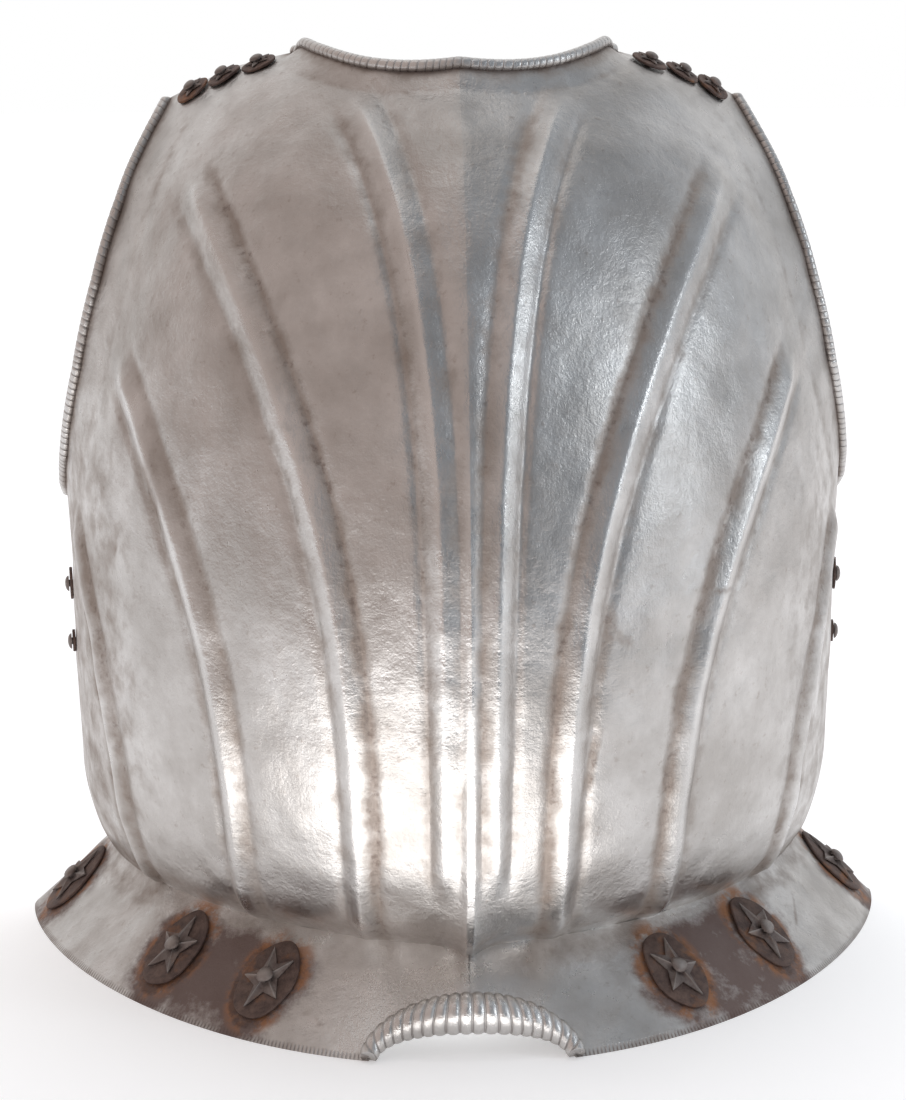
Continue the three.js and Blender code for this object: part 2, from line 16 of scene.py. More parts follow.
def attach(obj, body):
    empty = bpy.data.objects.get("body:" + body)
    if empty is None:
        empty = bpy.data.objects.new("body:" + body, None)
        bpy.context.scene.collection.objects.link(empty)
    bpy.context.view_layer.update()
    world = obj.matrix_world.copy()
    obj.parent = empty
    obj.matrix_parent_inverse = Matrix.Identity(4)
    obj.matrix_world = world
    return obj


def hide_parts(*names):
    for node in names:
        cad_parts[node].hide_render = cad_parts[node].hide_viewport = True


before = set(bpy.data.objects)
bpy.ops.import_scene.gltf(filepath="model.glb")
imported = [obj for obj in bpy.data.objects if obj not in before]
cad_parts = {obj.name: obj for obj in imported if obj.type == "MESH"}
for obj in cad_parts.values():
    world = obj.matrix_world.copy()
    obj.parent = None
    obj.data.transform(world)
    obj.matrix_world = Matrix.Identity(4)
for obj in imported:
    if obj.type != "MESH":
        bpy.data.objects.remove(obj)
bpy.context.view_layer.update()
MM = 0.001

# %% [markdown]
# ## The camera
# A lens of about 87 mm stands 1.2 m in front of the plate, twelve degrees above it and a hair
# to its right hand side, so the top of the flange shows and the belly is seen square on.

# %% Camera
CAMERA_TARGET = np.array([-3.5, 5.5, 198.7])
CAMERA_DISTANCE = 1210.0
CAMERA_RISE, CAMERA_SWING, CAMERA_ROLL = np.radians([12.0, 2.0, -0.3])
CAMERA_LENS = 87.05
CAMERA_SHIFT = 0.0045


def make_camera():
    """Camera axes: back points from the target to the lens, right and up are square to it and
    turned together by the small roll."""
    back = np.array([
        -np.sin(CAMERA_SWING) * np.cos(CAMERA_RISE),
        -np.cos(CAMERA_SWING) * np.cos(CAMERA_RISE),
        np.sin(CAMERA_RISE),
    ])
    right = np.cross([0, 0, 1], back)
    right /= np.linalg.norm(right)
    up = np.cross(back, right)
    turn = np.cos(CAMERA_ROLL), np.sin(CAMERA_ROLL)
    right, up = right * turn[0] + up * turn[1], up * turn[0] - right * turn[1]
    place = (CAMERA_TARGET + CAMERA_DISTANCE * back) * MM
    camera = bpy.data.objects.new("camera", bpy.data.cameras.new("camera"))
    bpy.context.scene.collection.objects.link(camera)
    camera.matrix_world = Matrix([
        [right[k], up[k], back[k], place[k]] for k in range(3)] + [[0, 0, 0, 1]])
    camera.data.lens = CAMERA_LENS
    camera.data.shift_y = CAMERA_SHIFT
    camera.data.clip_start = 0.05
    bpy.context.scene.camera = camera
    return place


print("camera stands at", make_camera().round(3))

# %% [markdown]
# ## The sheet before it is fluted
# A plate like this is described best by a short table of its horizontal sections. A smooth
# cubic runs through each column of the table, and each section is a rounded arch whose middle
# can come to a blunt point. Below the waist the flange is straight from the waist crease to
# the rim, as sheet that is turned over a stake is.

# %% Sections of the body
PLATE = 1.8
REAR_Y = 107.5
WAIST_Z = 37.0
SECTION_KEYS = ("v", "z", "width", "depth", "point", "round", "drop")
SECTIONS = dict(zip(SECTION_KEYS, np.array([
    (0.00, 37, 172, 170, 1.62, 0.60, 0),
    (0.03, 46, 177, 182, 1.66, 0.58, 0),
    (0.09, 68, 183, 195, 1.72, 0.56, 0),
    (0.19, 109, 185, 206, 1.78, 0.54, 0),
    (0.32, 168, 186, 212, 1.82, 0.53, 0),
    (0.44, 222, 186, 210, 1.84, 0.52, 0),
    (0.58, 280, 180, 199, 1.86, 0.52, 2),
    (0.71, 333, 169, 179, 1.86, 0.52, 6),
    (0.82, 373, 156, 152, 1.88, 0.52, 12),
    (0.91, 400, 145, 122, 1.90, 0.52, 20),
    (1.00, 421, 135, 88, 2.00, 0.52, 26),
    (1.07, 428, 131, 56, 2.00, 0.52, 27),
    (1.13, 428, 128, 25, 2.00, 0.52, 27),
]).T))
RIM = dict(width=212.0, depth=218.0, point=2.0, round=0.66)


def through(xs, ys, x):
    """Smooth cubic through the points (xs, ys): between two points it is the cubic whose value
    and slope agree with the table at both, the slope being that of the parabola through a
    point and its neighbours."""
    slope = np.gradient(ys, xs)
    i = np.clip(np.searchsorted(xs, x) - 1, 0, len(xs) - 2)
    span = xs[i + 1] - xs[i]
    s = (x - xs[i]) / span
    return ((2 * s**3 - 3 * s**2 + 1) * ys[i] + (s**3 - 2 * s**2 + s) * slope[i] * span
            + (3 * s**2 - 2 * s**3) * ys[i + 1] + (s**3 - s**2) * slope[i + 1] * span)


def outline(angle, width, depth, point, round):
    """Plan curve of a section: x = width * sin(angle), and y falls forward from the rear plane
    by depth * (1 - |sin(angle)| ** point) ** round."""
    u = np.sin(angle)
    fall = np.maximum(1 - np.abs(u) ** point, 0)
    return width * u, REAR_Y - depth * fall**round


def bare_surface(angle, v):
    """Point of the smooth sheet. v from 0 to 1 runs up the body, v from 0 down to -1 is the
    straight line from the waist crease to the rim at the same angle."""
    angle, v = np.broadcast_arrays(np.asarray(angle, float), np.asarray(v, float))
    up = np.maximum(v, 0)
    value = {key: through(SECTIONS["v"], SECTIONS[key], up) for key in SECTION_KEYS[1:]}
    x, y = outline(angle, value["width"], value["depth"], value["point"], value["round"])
    z = value["z"] - value["drop"] * np.abs(np.sin(angle)) ** 3
    body = np.stack([x, y, z], -1)
    rx, ry = outline(angle, **RIM)
    rim = np.stack([rx, ry, np.zeros_like(rx)], -1)
    down = np.maximum(-v, 0)[..., None]
    return body * (1 - down) + rim * down


def unit(vectors):
    """Vectors divided by their own lengths."""
    return vectors / np.maximum(np.linalg.norm(vectors, axis=-1, keepdims=True), 1e-9)


def facing(angle, v):
    """Direction in which the sheet faces: the cross product of its two tangents, each taken
    as the difference of two near points."""
    step = 0.004
    limit = np.pi / 2 - 2 * step
    angle = np.clip(angle, -limit, limit)
    across = bare_surface(angle + step, v) - bare_surface(angle - step, v)
    up = bare_surface(angle, v + step) - bare_surface(angle, v - step)
    return unit(np.cross(across, up))


print("sections:", len(SECTIONS["v"]), "front of the belly at y =",
      bare_surface(0.0, 0.32)[1].round(1))

# %% [markdown]
# ## The fan
# The flutes start close together at the waist and bend late towards the armholes. Fourteen fan
# lines carry them, and their upper ends together draw the edge of the plate, so a grid made
# of fan lines fits both the flutes and the neck and arm edges.

# %% Fan lines
FAN_NAMES = ("keel", "flute_1", "neck_side", "neck_corner", "shoulder", "arm_corner",
             "arm_upper", "flute_2", "arm_middle", "flute_3", "arm_lower", "flute_4",
             "flank", "side")
# waist angle, top angle, reach of v at the edge, how late the line bends, and its lean
FAN = np.array([
    (0, 0, 0.957, 1.0, 0), (3.4, 27.5, 1.013, 5.0, 0), (5.6, 31.5, 1.045, 4.7, 0),
    (7.6, 34, 1.057, 4.4, -0.2), (9.3, 55, 1.065, 4.2, -0.5), (11, 73.8, 1.005, 4.0, -0.8),
    (12.5, 73.2, 0.98, 3.7, -1), (13.8, 72.4, 0.955, 3.33, -1.2), (22.5, 69.6, 0.79, 3.15, -1.6),
    (31.4, 69.7, 0.685, 2.98, -2), (44, 72.5, 0.58, 2.6, -1.6), (56.5, 79, 0.472, 2.1, -0.8),
    (72, 84, 0.435, 1.6, 0), (90, 90, 0.415, 1.0, 0),
])
LINE = {name: k for k, name in enumerate(FAN_NAMES)}
LAST = len(FAN) - 1
NECK_DIP = 3


def on_fan(column, t):
    """Place on a fan line: the line's numbers are mixed between the two nearest table rows,
    v is reach * t, and with turn = t ** bend the angle goes from waist to top as turn does,
    on its own side, plus lean * (1 - turn), which is to the same hand on both sides. Beside
    the keel the reach rises late, with the cube of the column, as the neck edge does."""
    column, t = np.broadcast_arrays(np.asarray(column, float), np.asarray(t, float))
    c = np.minimum(np.abs(column), LAST)
    i = np.minimum(c.astype(int), LAST - 1)
    mix = (c - i)[..., None]
    waist, top, reach, bend, lean = np.moveaxis(FAN[i] * (1 - mix) + FAN[i + 1] * mix, -1, 0)
    dip = np.where(i == 0, c**NECK_DIP, c - i)
    reach = FAN[i, 2] * (1 - dip) + FAN[i + 1, 2] * dip
    turn = np.clip(t, 0, None) ** bend
    angle = np.sign(column) * (waist + (top - waist) * turn) + lean * (1 - turn)
    return np.radians(angle), reach * t


def nearest(line, points):
    """Distance from each point to a line of short straight steps, how far along the line the
    foot lies from 0 to 1, and the |x| of the foot."""
    flat = points.reshape(-1, 3)
    best = np.full(len(flat), np.inf)
    along = np.zeros(len(flat))
    foot_x = np.zeros(len(flat))
    for k in range(len(line) - 1):
        step = line[k + 1] - line[k]
        part = np.clip((flat - line[k]) @ step / (step @ step), 0, 1)
        foot = line[k] + part[:, None] * step
        distance = np.linalg.norm(flat - foot, axis=1)
        closer = distance < best
        best[closer] = distance[closer]
        along[closer] = (k + part[closer]) / (len(line) - 1)
        foot_x[closer] = np.abs(foot[closer, 0])
    shape = points.shape[:-1]
    return best.reshape(shape), along.reshape(shape), foot_x.reshape(shape)


def smooth(x, low, high):
    """0 below low, 1 above high, and 3s^2 - 2s^3 between them."""
    s = np.clip((x - low) / (high - low), 0, 1)
    return s * s * (3 - 2 * s)


STEPS = np.linspace(0, 1, 41)
flute_lines = {(name, side): bare_surface(*on_fan(side * LINE[name], STEPS))
               for name in ("flute_1", "flute_2", "flute_3", "flute_4") for side in (-1, 1)}
neck_corner = LINE["neck_corner"]
neck_edge = bare_surface(*on_fan(np.linspace(-neck_corner, neck_corner, 61), 1.0))
arm_edges = {side: bare_surface(*on_fan(side * np.linspace(LINE["arm_corner"], LAST, 61), 1.0))
             for side in (-1, 1)}
print("flute_2 is", np.linalg.norm(np.diff(flute_lines["flute_2", 1], axis=0), axis=1).sum().round(),
      "mm long")

# %% [markdown]
# ## Relief
# The keel is a sharp fold that narrows to a ridge near the waist and ends in a small drop.
# Each flute is a rounded ridge with a hollow along both feet, the outer one deeper. Between
# the flutes the panels are very slightly hollow, and at the neck and arms the sheet turns out
# to meet the roll. A handful of long waves stands for the unevenness that the hammer leaves.

# %% Relief of the sheet
# line, half width low and high, height, and where along the line the ridge starts and ends
FLUTES = (
    ("flute_1", 4.8, 9.5, 2.7, 0.14, 0.865),
    ("flute_2", 6.6, 10.5, 3.4, 0.05, 0.815),
    ("flute_3", 6.6, 9.5, 3.4, 0.05, 0.835),
    ("flute_4", 6.2, 8.5, 3.0, 0.05, 0.82),
)
FLUTE_FADE = 0.07
KEEL_V, KEEL_HEIGHT, KEEL_SPREAD = np.array([
    (0.0, 6.5, 5.0), (0.2, 5.5, 9.0), (0.5, 4.5, 16.0), (1.0, 3.0, 20.0)]).T
NECK_FLARE = dict(height=4.5, width=13.0, none=0.1, full=0.24)
ARM_FLARE = dict(height=4.0, width=30.0, low=0.3)
KEEL_TIP = 0.085
WAIST_FILLET = 1.0
CREST_ROUND, FOOT_HOLLOW, OUTER_HOLLOW, INNER_HOLLOW = 1.3, 2.6, 1.1, 0.6
# rough length of the sheet in millimetres from waist to rim, and from waist to neck
FLANGE_RUN, BODY_RUN = 60, 390

rng = np.random.default_rng(7)
WAVES = rng.normal(size=(26, 3))
WAVES = unit(WAVES) * (2 * np.pi / rng.uniform(16, 46, (26, 1)))
WAVE_PHASE = rng.uniform(0, 2 * np.pi, 26)
WAVE_HEIGHT = 0.055


def hammer_waves(points):
    """Sum of sine waves that cross the sheet in many directions, each a few centimetres long."""
    return WAVE_HEIGHT * np.sin(points @ WAVES.T + WAVE_PHASE).sum(-1)


def flute_parts(points):
    """For each flute: how far each point is from its crest as a fraction of the half width,
    how full the ridge is there, and whether the point lies on the outer side."""
    parts = []
    for name, low, high, height, start, end in FLUTES:
        for side in (-1, 1):
            distance, along, foot_x = nearest(flute_lines[name, side], points)
            half = low + (high - low) * along
            full = smooth(along, start - FLUTE_FADE, start) * (1 - smooth(along, end, end + FLUTE_FADE))
            full = full * (points[..., 0] * side > 0)
            outer = np.abs(points[..., 0]) > foot_x
            parts.append((distance, half, full, height, outer))
    return parts


def flute_relief(parts):
    """Ridge: height * (1 - reach) ** 1.2 where reach rounds the very crest, less two bell
    shaped hollows just outside the feet."""
    total = 0
    for distance, half, full, height, outer in parts:
        reach = (np.hypot(distance, CREST_ROUND) - CREST_ROUND) / half
        ridge = height * np.clip(1 - reach, 0, 1) ** 1.2
        depth = np.where(outer, OUTER_HOLLOW, INNER_HOLLOW)
        hollow = depth * np.exp(-(((distance - 1.2 * half) / FOOT_HOLLOW) ** 2))
        total = total + full * (ridge - hollow)
    return total


def keel_relief(points, v):
    """Height times exp(-|x| / spread), with the very edge rounded, narrowing and dying away
    just below the waist, which leaves a pointed drop."""
    up = np.clip(v, 0, 1)
    x = np.abs(points[..., 0])
    height = through(KEEL_V, KEEL_HEIGHT, up)
    spread = through(KEEL_V, KEEL_SPREAD, up)
    ridge = height * np.exp(-np.maximum(np.hypot(x, 0.5) - 1.5, 0) / spread)
    below = np.clip(1 + v / KEEL_TIP, 0, 1)
    narrow = np.exp(-((x / np.maximum(6.0 * below, 0.4)) ** 2))
    return np.where(v < 0, ridge * narrow * below**0.6, ridge)


def flares(points):
    """Collar and armhole bands: height * (1 - distance / width), fading at the roll's ends."""
    distance, along, _ = nearest(neck_edge, points)
    part = smooth(np.minimum(along, 1 - along), NECK_FLARE["none"], NECK_FLARE["full"])
    rise = NECK_FLARE["height"] * part * np.clip(1 - distance / NECK_FLARE["width"], 0, 1)
    arm_distance = np.full(distance.shape, np.inf)
    for side, line in arm_edges.items():
        away, along, _ = nearest(line, points)
        arm = ARM_FLARE["height"] * (1 + (ARM_FLARE["low"] - 1) * smooth(along, 0.5, 1))
        arm = arm * np.clip(1 - away / ARM_FLARE["width"], 0, 1) ** 1.2
        here = points[..., 0] * side > 0
        rise = np.maximum(rise, np.where(here, arm, 0))
        arm_distance = np.minimum(arm_distance, away)
    return rise, distance, arm_distance


def plate_surface(angle, v, fine=False):
    """The sheet with its relief: the bare point moved along the way it faces by the sum of
    keel, flutes and flares. fine adds the hammer waves, the hollow panels and the soft waist."""
    angle, v = np.broadcast_arrays(np.asarray(angle, float), np.asarray(v, float))
    points = bare_surface(angle, v)
    normals = facing(angle, v)
    body = smooth(v, -0.03, 0.0)
    rise, _, _ = flares(points)
    relief = flute_relief(flute_parts(points)) * body + keel_relief(points, v) + rise * (v >= 0)
    if fine:
        away = np.where(v < 0, -v * FLANGE_RUN, v * BODY_RUN)
        relief = relief + hammer_waves(points) + WAIST_FILLET * np.exp(-away / 3.0)
    return points + relief[..., None] * normals


print("keel stands", keel_relief(np.zeros((1, 3)), np.array([0.02]))[0].round(1), "mm proud at the waist")

# %% [markdown]
# ## Meshes from rings
# All the pieces are rings of points that follow one another: a section carried across the
# plate, a bead carried along an edge, or rings round a rivet. One helper joins such rings into
# a closed mesh and stores any numbers the finish needs, such as where rust gathers.

# %% Mesh helper
finished = []


def ring_mesh(name, rings, closed=False, values=None, sharp=50, flat_ends=False):
    """Mesh from an array (ring, point in ring, xyz): neighbours in both directions make a
    quad and each ring closes on itself. The first and last rings are joined to each other
    when closed is true, and otherwise closed by a fan or by one flat face."""
    count, size = rings.shape[:2]
    i = np.arange(count if closed else count - 1)[:, None]
    j = np.arange(size)[None, :]
    ii, jj = (i + 1) % count, (j + 1) % size
    quads = np.stack([i * size + j, ii * size + j, ii * size + jj, i * size + jj], -1)
    quads = quads.reshape(-1, 4)
    points = rings.reshape(-1, 3)
    faces = quads.tolist()
    if not closed and flat_ends:
        faces += [list(range(size)), [(count - 1) * size + k for k in range(size)][::-1]]
    elif not closed:
        first, last = rings[0].mean(0), rings[-1].mean(0)
        points = np.concatenate([points, [first, last]])
        k = np.arange(size)
        kk = (k + 1) % size
        base = (count - 1) * size
        faces += np.stack([k, kk, np.full(size, count * size)], -1).tolist()
        faces += np.stack([base + kk, base + k, np.full(size, count * size + 1)], -1).tolist()
    return finish_mesh(name, points, faces, values, sharp)


def finish_mesh(name, points, faces, values=None, sharp=50):
    """Object at the origin from points in millimetres, smooth except over edges sharper than
    the given angle, with one number per point under each name in values."""
    mesh = bpy.data.meshes.new(name)
    mesh.from_pydata((points * MM).tolist(), [], faces)
    mesh.shade_smooth()
    mesh.set_sharp_from_angle(angle=np.radians(sharp))
    for key, numbers in (values or {}).items():
        layer = mesh.attributes.new(key, "FLOAT", "POINT")
        data = np.zeros(len(points), np.float32)
        data[:numbers.size] = np.asarray(numbers, np.float32).ravel()
        layer.data.foreach_set("value", data)
    piece = bpy.data.objects.new(name, mesh)
    bpy.context.scene.collection.objects.link(piece)
    triangles = sum(len(face) - 2 for face in faces)
    finished.append((name, triangles))
    return piece


def keep(piece, slot, material, *nodes):
    """Rides the piece on the body, hides the parts of the model that it stands for, and paints it. slot is
    not used.
    """
    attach(piece, "root")
    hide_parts(*nodes)
    piece.data.materials.append(material)
    return piece


# %% [markdown]
# ## Where the rosettes sit
# A rosette is placed by its angle round the plate and its way down the flange, or up the
# body. A seat knows which way the plate faces there and can lay a small flat pattern on the
# curved sheet by solving for the step in angle and height that matches a step in the plane.

# %% Seats
class Seat:
    """Axes of a place on the plate: out is the way it faces, up and right lie in the sheet."""

    def __init__(self, angle, v):
        step = 0.02
        self.angle, self.v = angle, v
        near = plate_surface(angle + step * np.array([0, 1, -1, 0, 0]), v + step * np.array([0, 0, 0, 1, -1]))
        self.origin = near[0]
        by_angle = (near[1] - near[2]) / (2 * step)
        by_v = (near[3] - near[4]) / (2 * step)
        self.out = unit(np.cross(by_angle, by_v))
        self.up = unit(np.array([0, 0, 1.0]) - self.out[2] * self.out)
        self.right = np.cross(self.up, self.out)
        plane = np.array([[by_angle @ self.right, by_v @ self.right],
                          [by_angle @ self.up, by_v @ self.up]])
        self.solve = np.linalg.inv(plane)

    def over(self, x, y, height):
        """Point of the plate under (x, y) in the seat's plane, lifted by height."""
        da = self.solve[0, 0] * x + self.solve[0, 1] * y
        dv = self.solve[1, 0] * x + self.solve[1, 1] * y
        return plate_surface(self.angle + da, self.v + dv) + height[..., None] * self.out

    def straight(self, x, y, height):
        """Point in the seat's own flat axes, for parts that do not bend with the plate."""
        return (self.origin + x[..., None] * self.right + y[..., None] * self.up
                + height[..., None] * self.out)


FLANGE_SET = dict(disc=18.0, thick=1.6, star=14.5, raise_=2.2, head=4.0, shank=2.2, lift=0.0)
SHOULDER_SET = dict(disc=8.6, thick=1.2, star=7.0, raise_=1.0, head=3.2, shank=1.7, lift=0.3)
OVAL, ROUND = (0.80, 1.18), (1.0, 1.0)
# angle and way down of each rosette on the flange, and the degrees its star is turned by
FLANGE_ROSETTES = {
    "left_outer": (-80, 0.47, 90), "left_middle": (-43.6, 0.47, 20), "left_inner": (-27.5, 0.5, 40),
    "right_inner": (29, 0.5, 0), "right_middle": (46.6, 0.47, 30), "right_outer": (82, 0.46, 90)}
SHOULDER_ROSETTES = {
    "left_outer": (-62.2, 1.01), "left_middle": (-51.9, 1.028), "left_inner": (-41.8, 1.03),
    "right_inner": (41.8, 1.03), "right_middle": (51.9, 1.028), "right_outer": (62.2, 1.01)}
SIDE_RIVETS = {
    "left_upper": (-83, 0.325, 8.0), "left_lower": (-83, 0.262, 5.5),
    "right_upper": (83, 0.325, 8.0), "right_lower": (83, 0.262, 5.5)}
flange_seats = {name: Seat(np.radians(a), -down) for name, (a, down, _) in FLANGE_ROSETTES.items()}
shoulder_seats = {name: Seat(np.radians(a), v) for name, (a, v) in SHOULDER_ROSETTES.items()}
side_seats = {name: Seat(np.radians(a), v) for name, (a, v, _) in SIDE_RIVETS.items()}
print("flange rosettes at", {n: s.origin.round().tolist() for n, s in flange_seats.items()})

# %% [markdown]
# ## Numbers for the finish
# Old steel is bright where it is rubbed, on crests and along the keel, and brown where damp
# has stood: along the feet of the flutes, in the crease under a roll, above the waist, and in
# a halo round every iron rosette. Painted highlight is added on the crests, the lower keel and
# the flange left of the fork. Painted shade is added on one foot of each flute more than the
# other, in the crease under each roll, where the belly turns under above the waist, and on the
# lower flanks. These places are known from the geometry, so each point of the plate carries
# them as numbers that the material can read.

# %% Stain and wear maps
def bell(x, middle, width):
    """Bell curve exp(-((x - middle) / width) ** 2)."""
    return np.exp(-(((x - middle) / width) ** 2))


class Mark:
    """A local stain: a bell curve of the given half length and half width on the sheet, its
    long axis turned from upright by lean degrees."""

    def __init__(self, angle, v, length, width, lean, strength):
        self.seat = Seat(np.radians(angle), v)
        self.size, self.lean, self.strength = (length, width), np.radians(lean), strength

    def amount(self, points):
        away = points - self.seat.origin
        x, y = away @ self.seat.right, away @ self.seat.up
        along = x * np.sin(self.lean) + y * np.cos(self.lean)
        across = x * np.cos(self.lean) - y * np.sin(self.lean)
        depth = np.abs(away @ self.seat.out) < 25
        return self.strength * depth * np.exp(-((along / self.size[0]) ** 4 + (across / self.size[1]) ** 4))


MARKS = [
    Mark(-47.2, 0.476, 13.0, 5.5, -22, 1.0),
    Mark(16.4, 0.232, 14.0, 2.6, 10, 0.8),
    Mark(18.0, 0.34, 22.0, 3.0, 12, 0.45),
    Mark(36.2, 0.380, 1.2, 5.0, 0, 1.0),
    Mark(-24.2, 0.558, 1.8, 2.8, 0, 0.9),
    Mark(-57.0, 0.400, 1.6, 1.6, 0, 0.9),
    Mark(20.8, 0.348, 3.0, 5.0, 30, 0.4),
    Mark(55.9, -0.50, 14.0, 0.7, 52, 0.6),
    Mark(-21.0, -0.688, 1.8, 1.8, 0, 0.9),
    Mark(-19.0, -0.764, 1.6, 1.6, 0, 0.9),
]

# how brown each flute's inner and outer foot is, on the left and on the right half: stain in
# the hollow, with painted shade that makes one side of a flute darker than the other
FOOT_STAIN_AND_SHADE = {
    "flute_1": ((0.35, 0.60), (0.60, 0.30)),
    "flute_2": ((0.95, 0.45), (0.90, 0.40)),
    "flute_3": ((0.60, 0.50), (0.90, 0.40)),
    "flute_4": ((0.40, 0.45), (0.60, 0.40)),
}


def foot_stain_and_shade(parts):
    """Narrow bell curves just outside both feet of every flute, times the table above: brown stain in the
    hollows, with painted shade in the uneven share between the sides.
    """
    total = 0
    order = [(name, side) for name, *_ in FLUTES for side in (-1, 1)]
    for (name, side), (distance, half, full, _, outer) in zip(order, parts):
        inner_share, outer_share = FOOT_STAIN_AND_SHADE[name][side > 0]
        share = np.where(outer, outer_share, inner_share)
        total = total + full * share * bell(distance, 1.1 * half, 3.8)
    return total


STAINED_RUNS = (("left_middle", "left_inner"), ("right_inner", "right_middle"),
                ("left_outer", "left_outer"), ("right_outer", "right_outer"))


def rosette_halo(points):
    """1 along the line that joins two neighbouring flange rosettes, falling to 0 on both sides
    of it, more slowly toward the rim. An outer rosette has a patch of its own."""
    halo = np.zeros(points.shape[:-1])
    for first, second in STAINED_RUNS:
        a, b = flange_seats[first], flange_seats[second]
        step = b.origin - a.origin
        way = np.clip((points - a.origin) @ step / max(step @ step, 1), 0, 1)
        away = points - a.origin - way[..., None] * step
        longer = np.where(away @ a.up < 0, 0.60, 1.0)
        reach = np.hypot(away @ a.right, away @ a.up * longer)
        weight = 1.0 if first != second else 0.8
        halo = np.maximum(halo, weight * (1 - smooth(reach, 13, 29)))
    return halo


def rust_ring(points):
    """1 at the edge of a flange disc, falling to 0 within a few millimetres of it."""
    ring = np.zeros(points.shape[:-1])
    for seat in flange_seats.values():
        away = points - seat.origin
        reach = np.hypot(away @ seat.right / OVAL[0], away @ seat.up / OVAL[1])
        ring = np.maximum(ring, 1 - smooth(reach, FLANGE_SET["disc"], FLANGE_SET["disc"] + 10))
    return ring


def finish_numbers(angle, v):
    """rust, worn, crease, halo, ring and rim for points of the outer face: sums of bell curves of
    the distances to crests, feet, edges, the waist and the rosettes, and millimetres to the rim.
    rust also carries painted shade, worn also carries painted highlight, and crease is painted
    shade with rust under the rolls."""
    points = bare_surface(angle, v)
    parts = flute_parts(points)
    # painted highlight with wear: a bright line down the lower keel
    keel = 1.5 * bell(points[..., 0], 0, 1.8) * smooth(v, -0.06, 0) * (1 - smooth(v, 0.30, 0.75))
    wear_and_highlight = keel
    # painted highlight with wear along the flute crests
    for distance, half, full, _, _ in parts:
        wear_and_highlight = wear_and_highlight + 0.8 * full * bell(distance, 0, 0.3 * half)
    # painted highlight on the flange left of the fork, weaker where the rosettes' rust is
    fork_side = np.where(v < 0, bell(points[..., 0], -20, 42), 0)
    halo = rosette_halo(points)
    wear_and_highlight = wear_and_highlight + 1.4 * fork_side * (1 - halo)
    _, neck, arm = flares(points)
    body = v >= 0
    rust = foot_stain_and_shade(parts)
    rust = rust + body * (0.25 * bell(neck, 13, 1.6) + 0.8 * bell(neck, 1, 5))
    rust = rust + body * (0.20 * bell(arm, 28, 3) + 0.8 * bell(arm, 1, 5))
    # painted shade: the lower flanks darker, more on the left half, added to the rust number
    outer_share = np.where(angle < 0, 0.55, 0.38)
    rust = rust + outer_share * body * smooth(np.abs(angle), 0.75, 1.25) * (1 - smooth(v, 0.3, 0.7))
    # brown above the waist: rust in its crease, and painted shade where the belly turns under
    waist = np.where(v < 0, -v * FLANGE_RUN, v * BODY_RUN)
    rust = rust + 0.42 * bell(waist, 9, 8) + 0.30 * bell(waist, 0, 3)
    # crease: painted shade with rust in the fold right under each roll
    crease = body * np.maximum(bell(neck, 0, 2.6), bell(arm, 0, 2.8))
    rim = np.where(v < 0, (1 + v) * FLANGE_RUN, FLANGE_RUN)
    rust = rust + 0.35 * bell(rim, 0, 4)
    patches = [mark.amount(points) for mark in MARKS]
    rust = rust + sum(patches)
    return dict(rust=np.clip(rust, 0, 1), wear_and_highlight=np.clip(wear_and_highlight, 0, 1), crease=np.clip(crease, 0, 1),
                halo=halo * (v < 0), ring=rust_ring(points) * (v < 0), rim=rim)


# %% [markdown]
# ## The plate in two halves
# The section of the sheet, up its outer face, over the edge and down the inner face, is
# carried across from the keel to the side edge. The two halves meet on the keel, where the
# real plate has its sharpest fold, so the join shows nothing and each half keeps a light mesh.

# %% Grid of one half
ARCH_HALF, ARCH_RISE = 44.5, 13.0
EDGE_STEPS = 5


def spread(*stretches):
    """Numbers along a line, given as (from, to, how many steps) for each stretch."""
    runs = [np.linspace(a, b, n, endpoint=False) for a, b, n in stretches]
    return np.concatenate([*runs, [stretches[-1][1]]])


HALF_COLUMNS = spread((0, 0.16, 5), (0.16, 0.55, 10), (0.55, 1.5, 30), (1.5, 2.0, 8), (2.0, 5.0, 34),
                      (5.0, 6.0, 14), (6.0, 6.6, 16), (6.6, 7.6, 24), (7.6, 8.4, 9),
                      (8.4, 9.6, 30), (9.6, 10.4, 9), (10.4, 11.5, 26), (11.5, 13, 20))
BODY_ROWS = spread((0, 0.05, 14), (0.05, 0.15, 20), (0.15, 0.8, 100), (0.8, 1.0, 46))
FLANGE_ROWS = spread((1, 0.12, 26), (0.12, 0, 10))[:-1]
INNER_EVERY = 4


def flange_end(angle):
    """Way down the flange at which the plate stops: 1 at the rim, less over the cut-out,
    which is half an ellipse."""
    x = np.abs(RIM["width"] * np.sin(angle))
    rise = np.sqrt(np.clip(1 - (x / ARCH_HALF) ** 2, 0, 1))
    return 1 - ARCH_RISE / WAIST_Z * rise


def edge_arc(root, out, normal, radius, steps=EDGE_STEPS):
    """Half round edge from the outer to the inner face: root + out * r sin + normal * r (1 - cos)."""
    turn = np.linspace(np.pi, 0, steps + 1)[:, None, None]
    return root + out * (radius * np.sin(turn)) + normal * (radius * (1 - np.cos(turn)))


def past_edge(roots, normals, inside):
    """Direction past an edge: square to the edge and to the normal, away from the sheet."""
    out = unit(np.cross(np.gradient(roots, axis=0), normals))
    flip = np.sign(((roots - inside) * out).sum(-1, keepdims=True))
    return out * np.where(flip == 0, 1, flip)


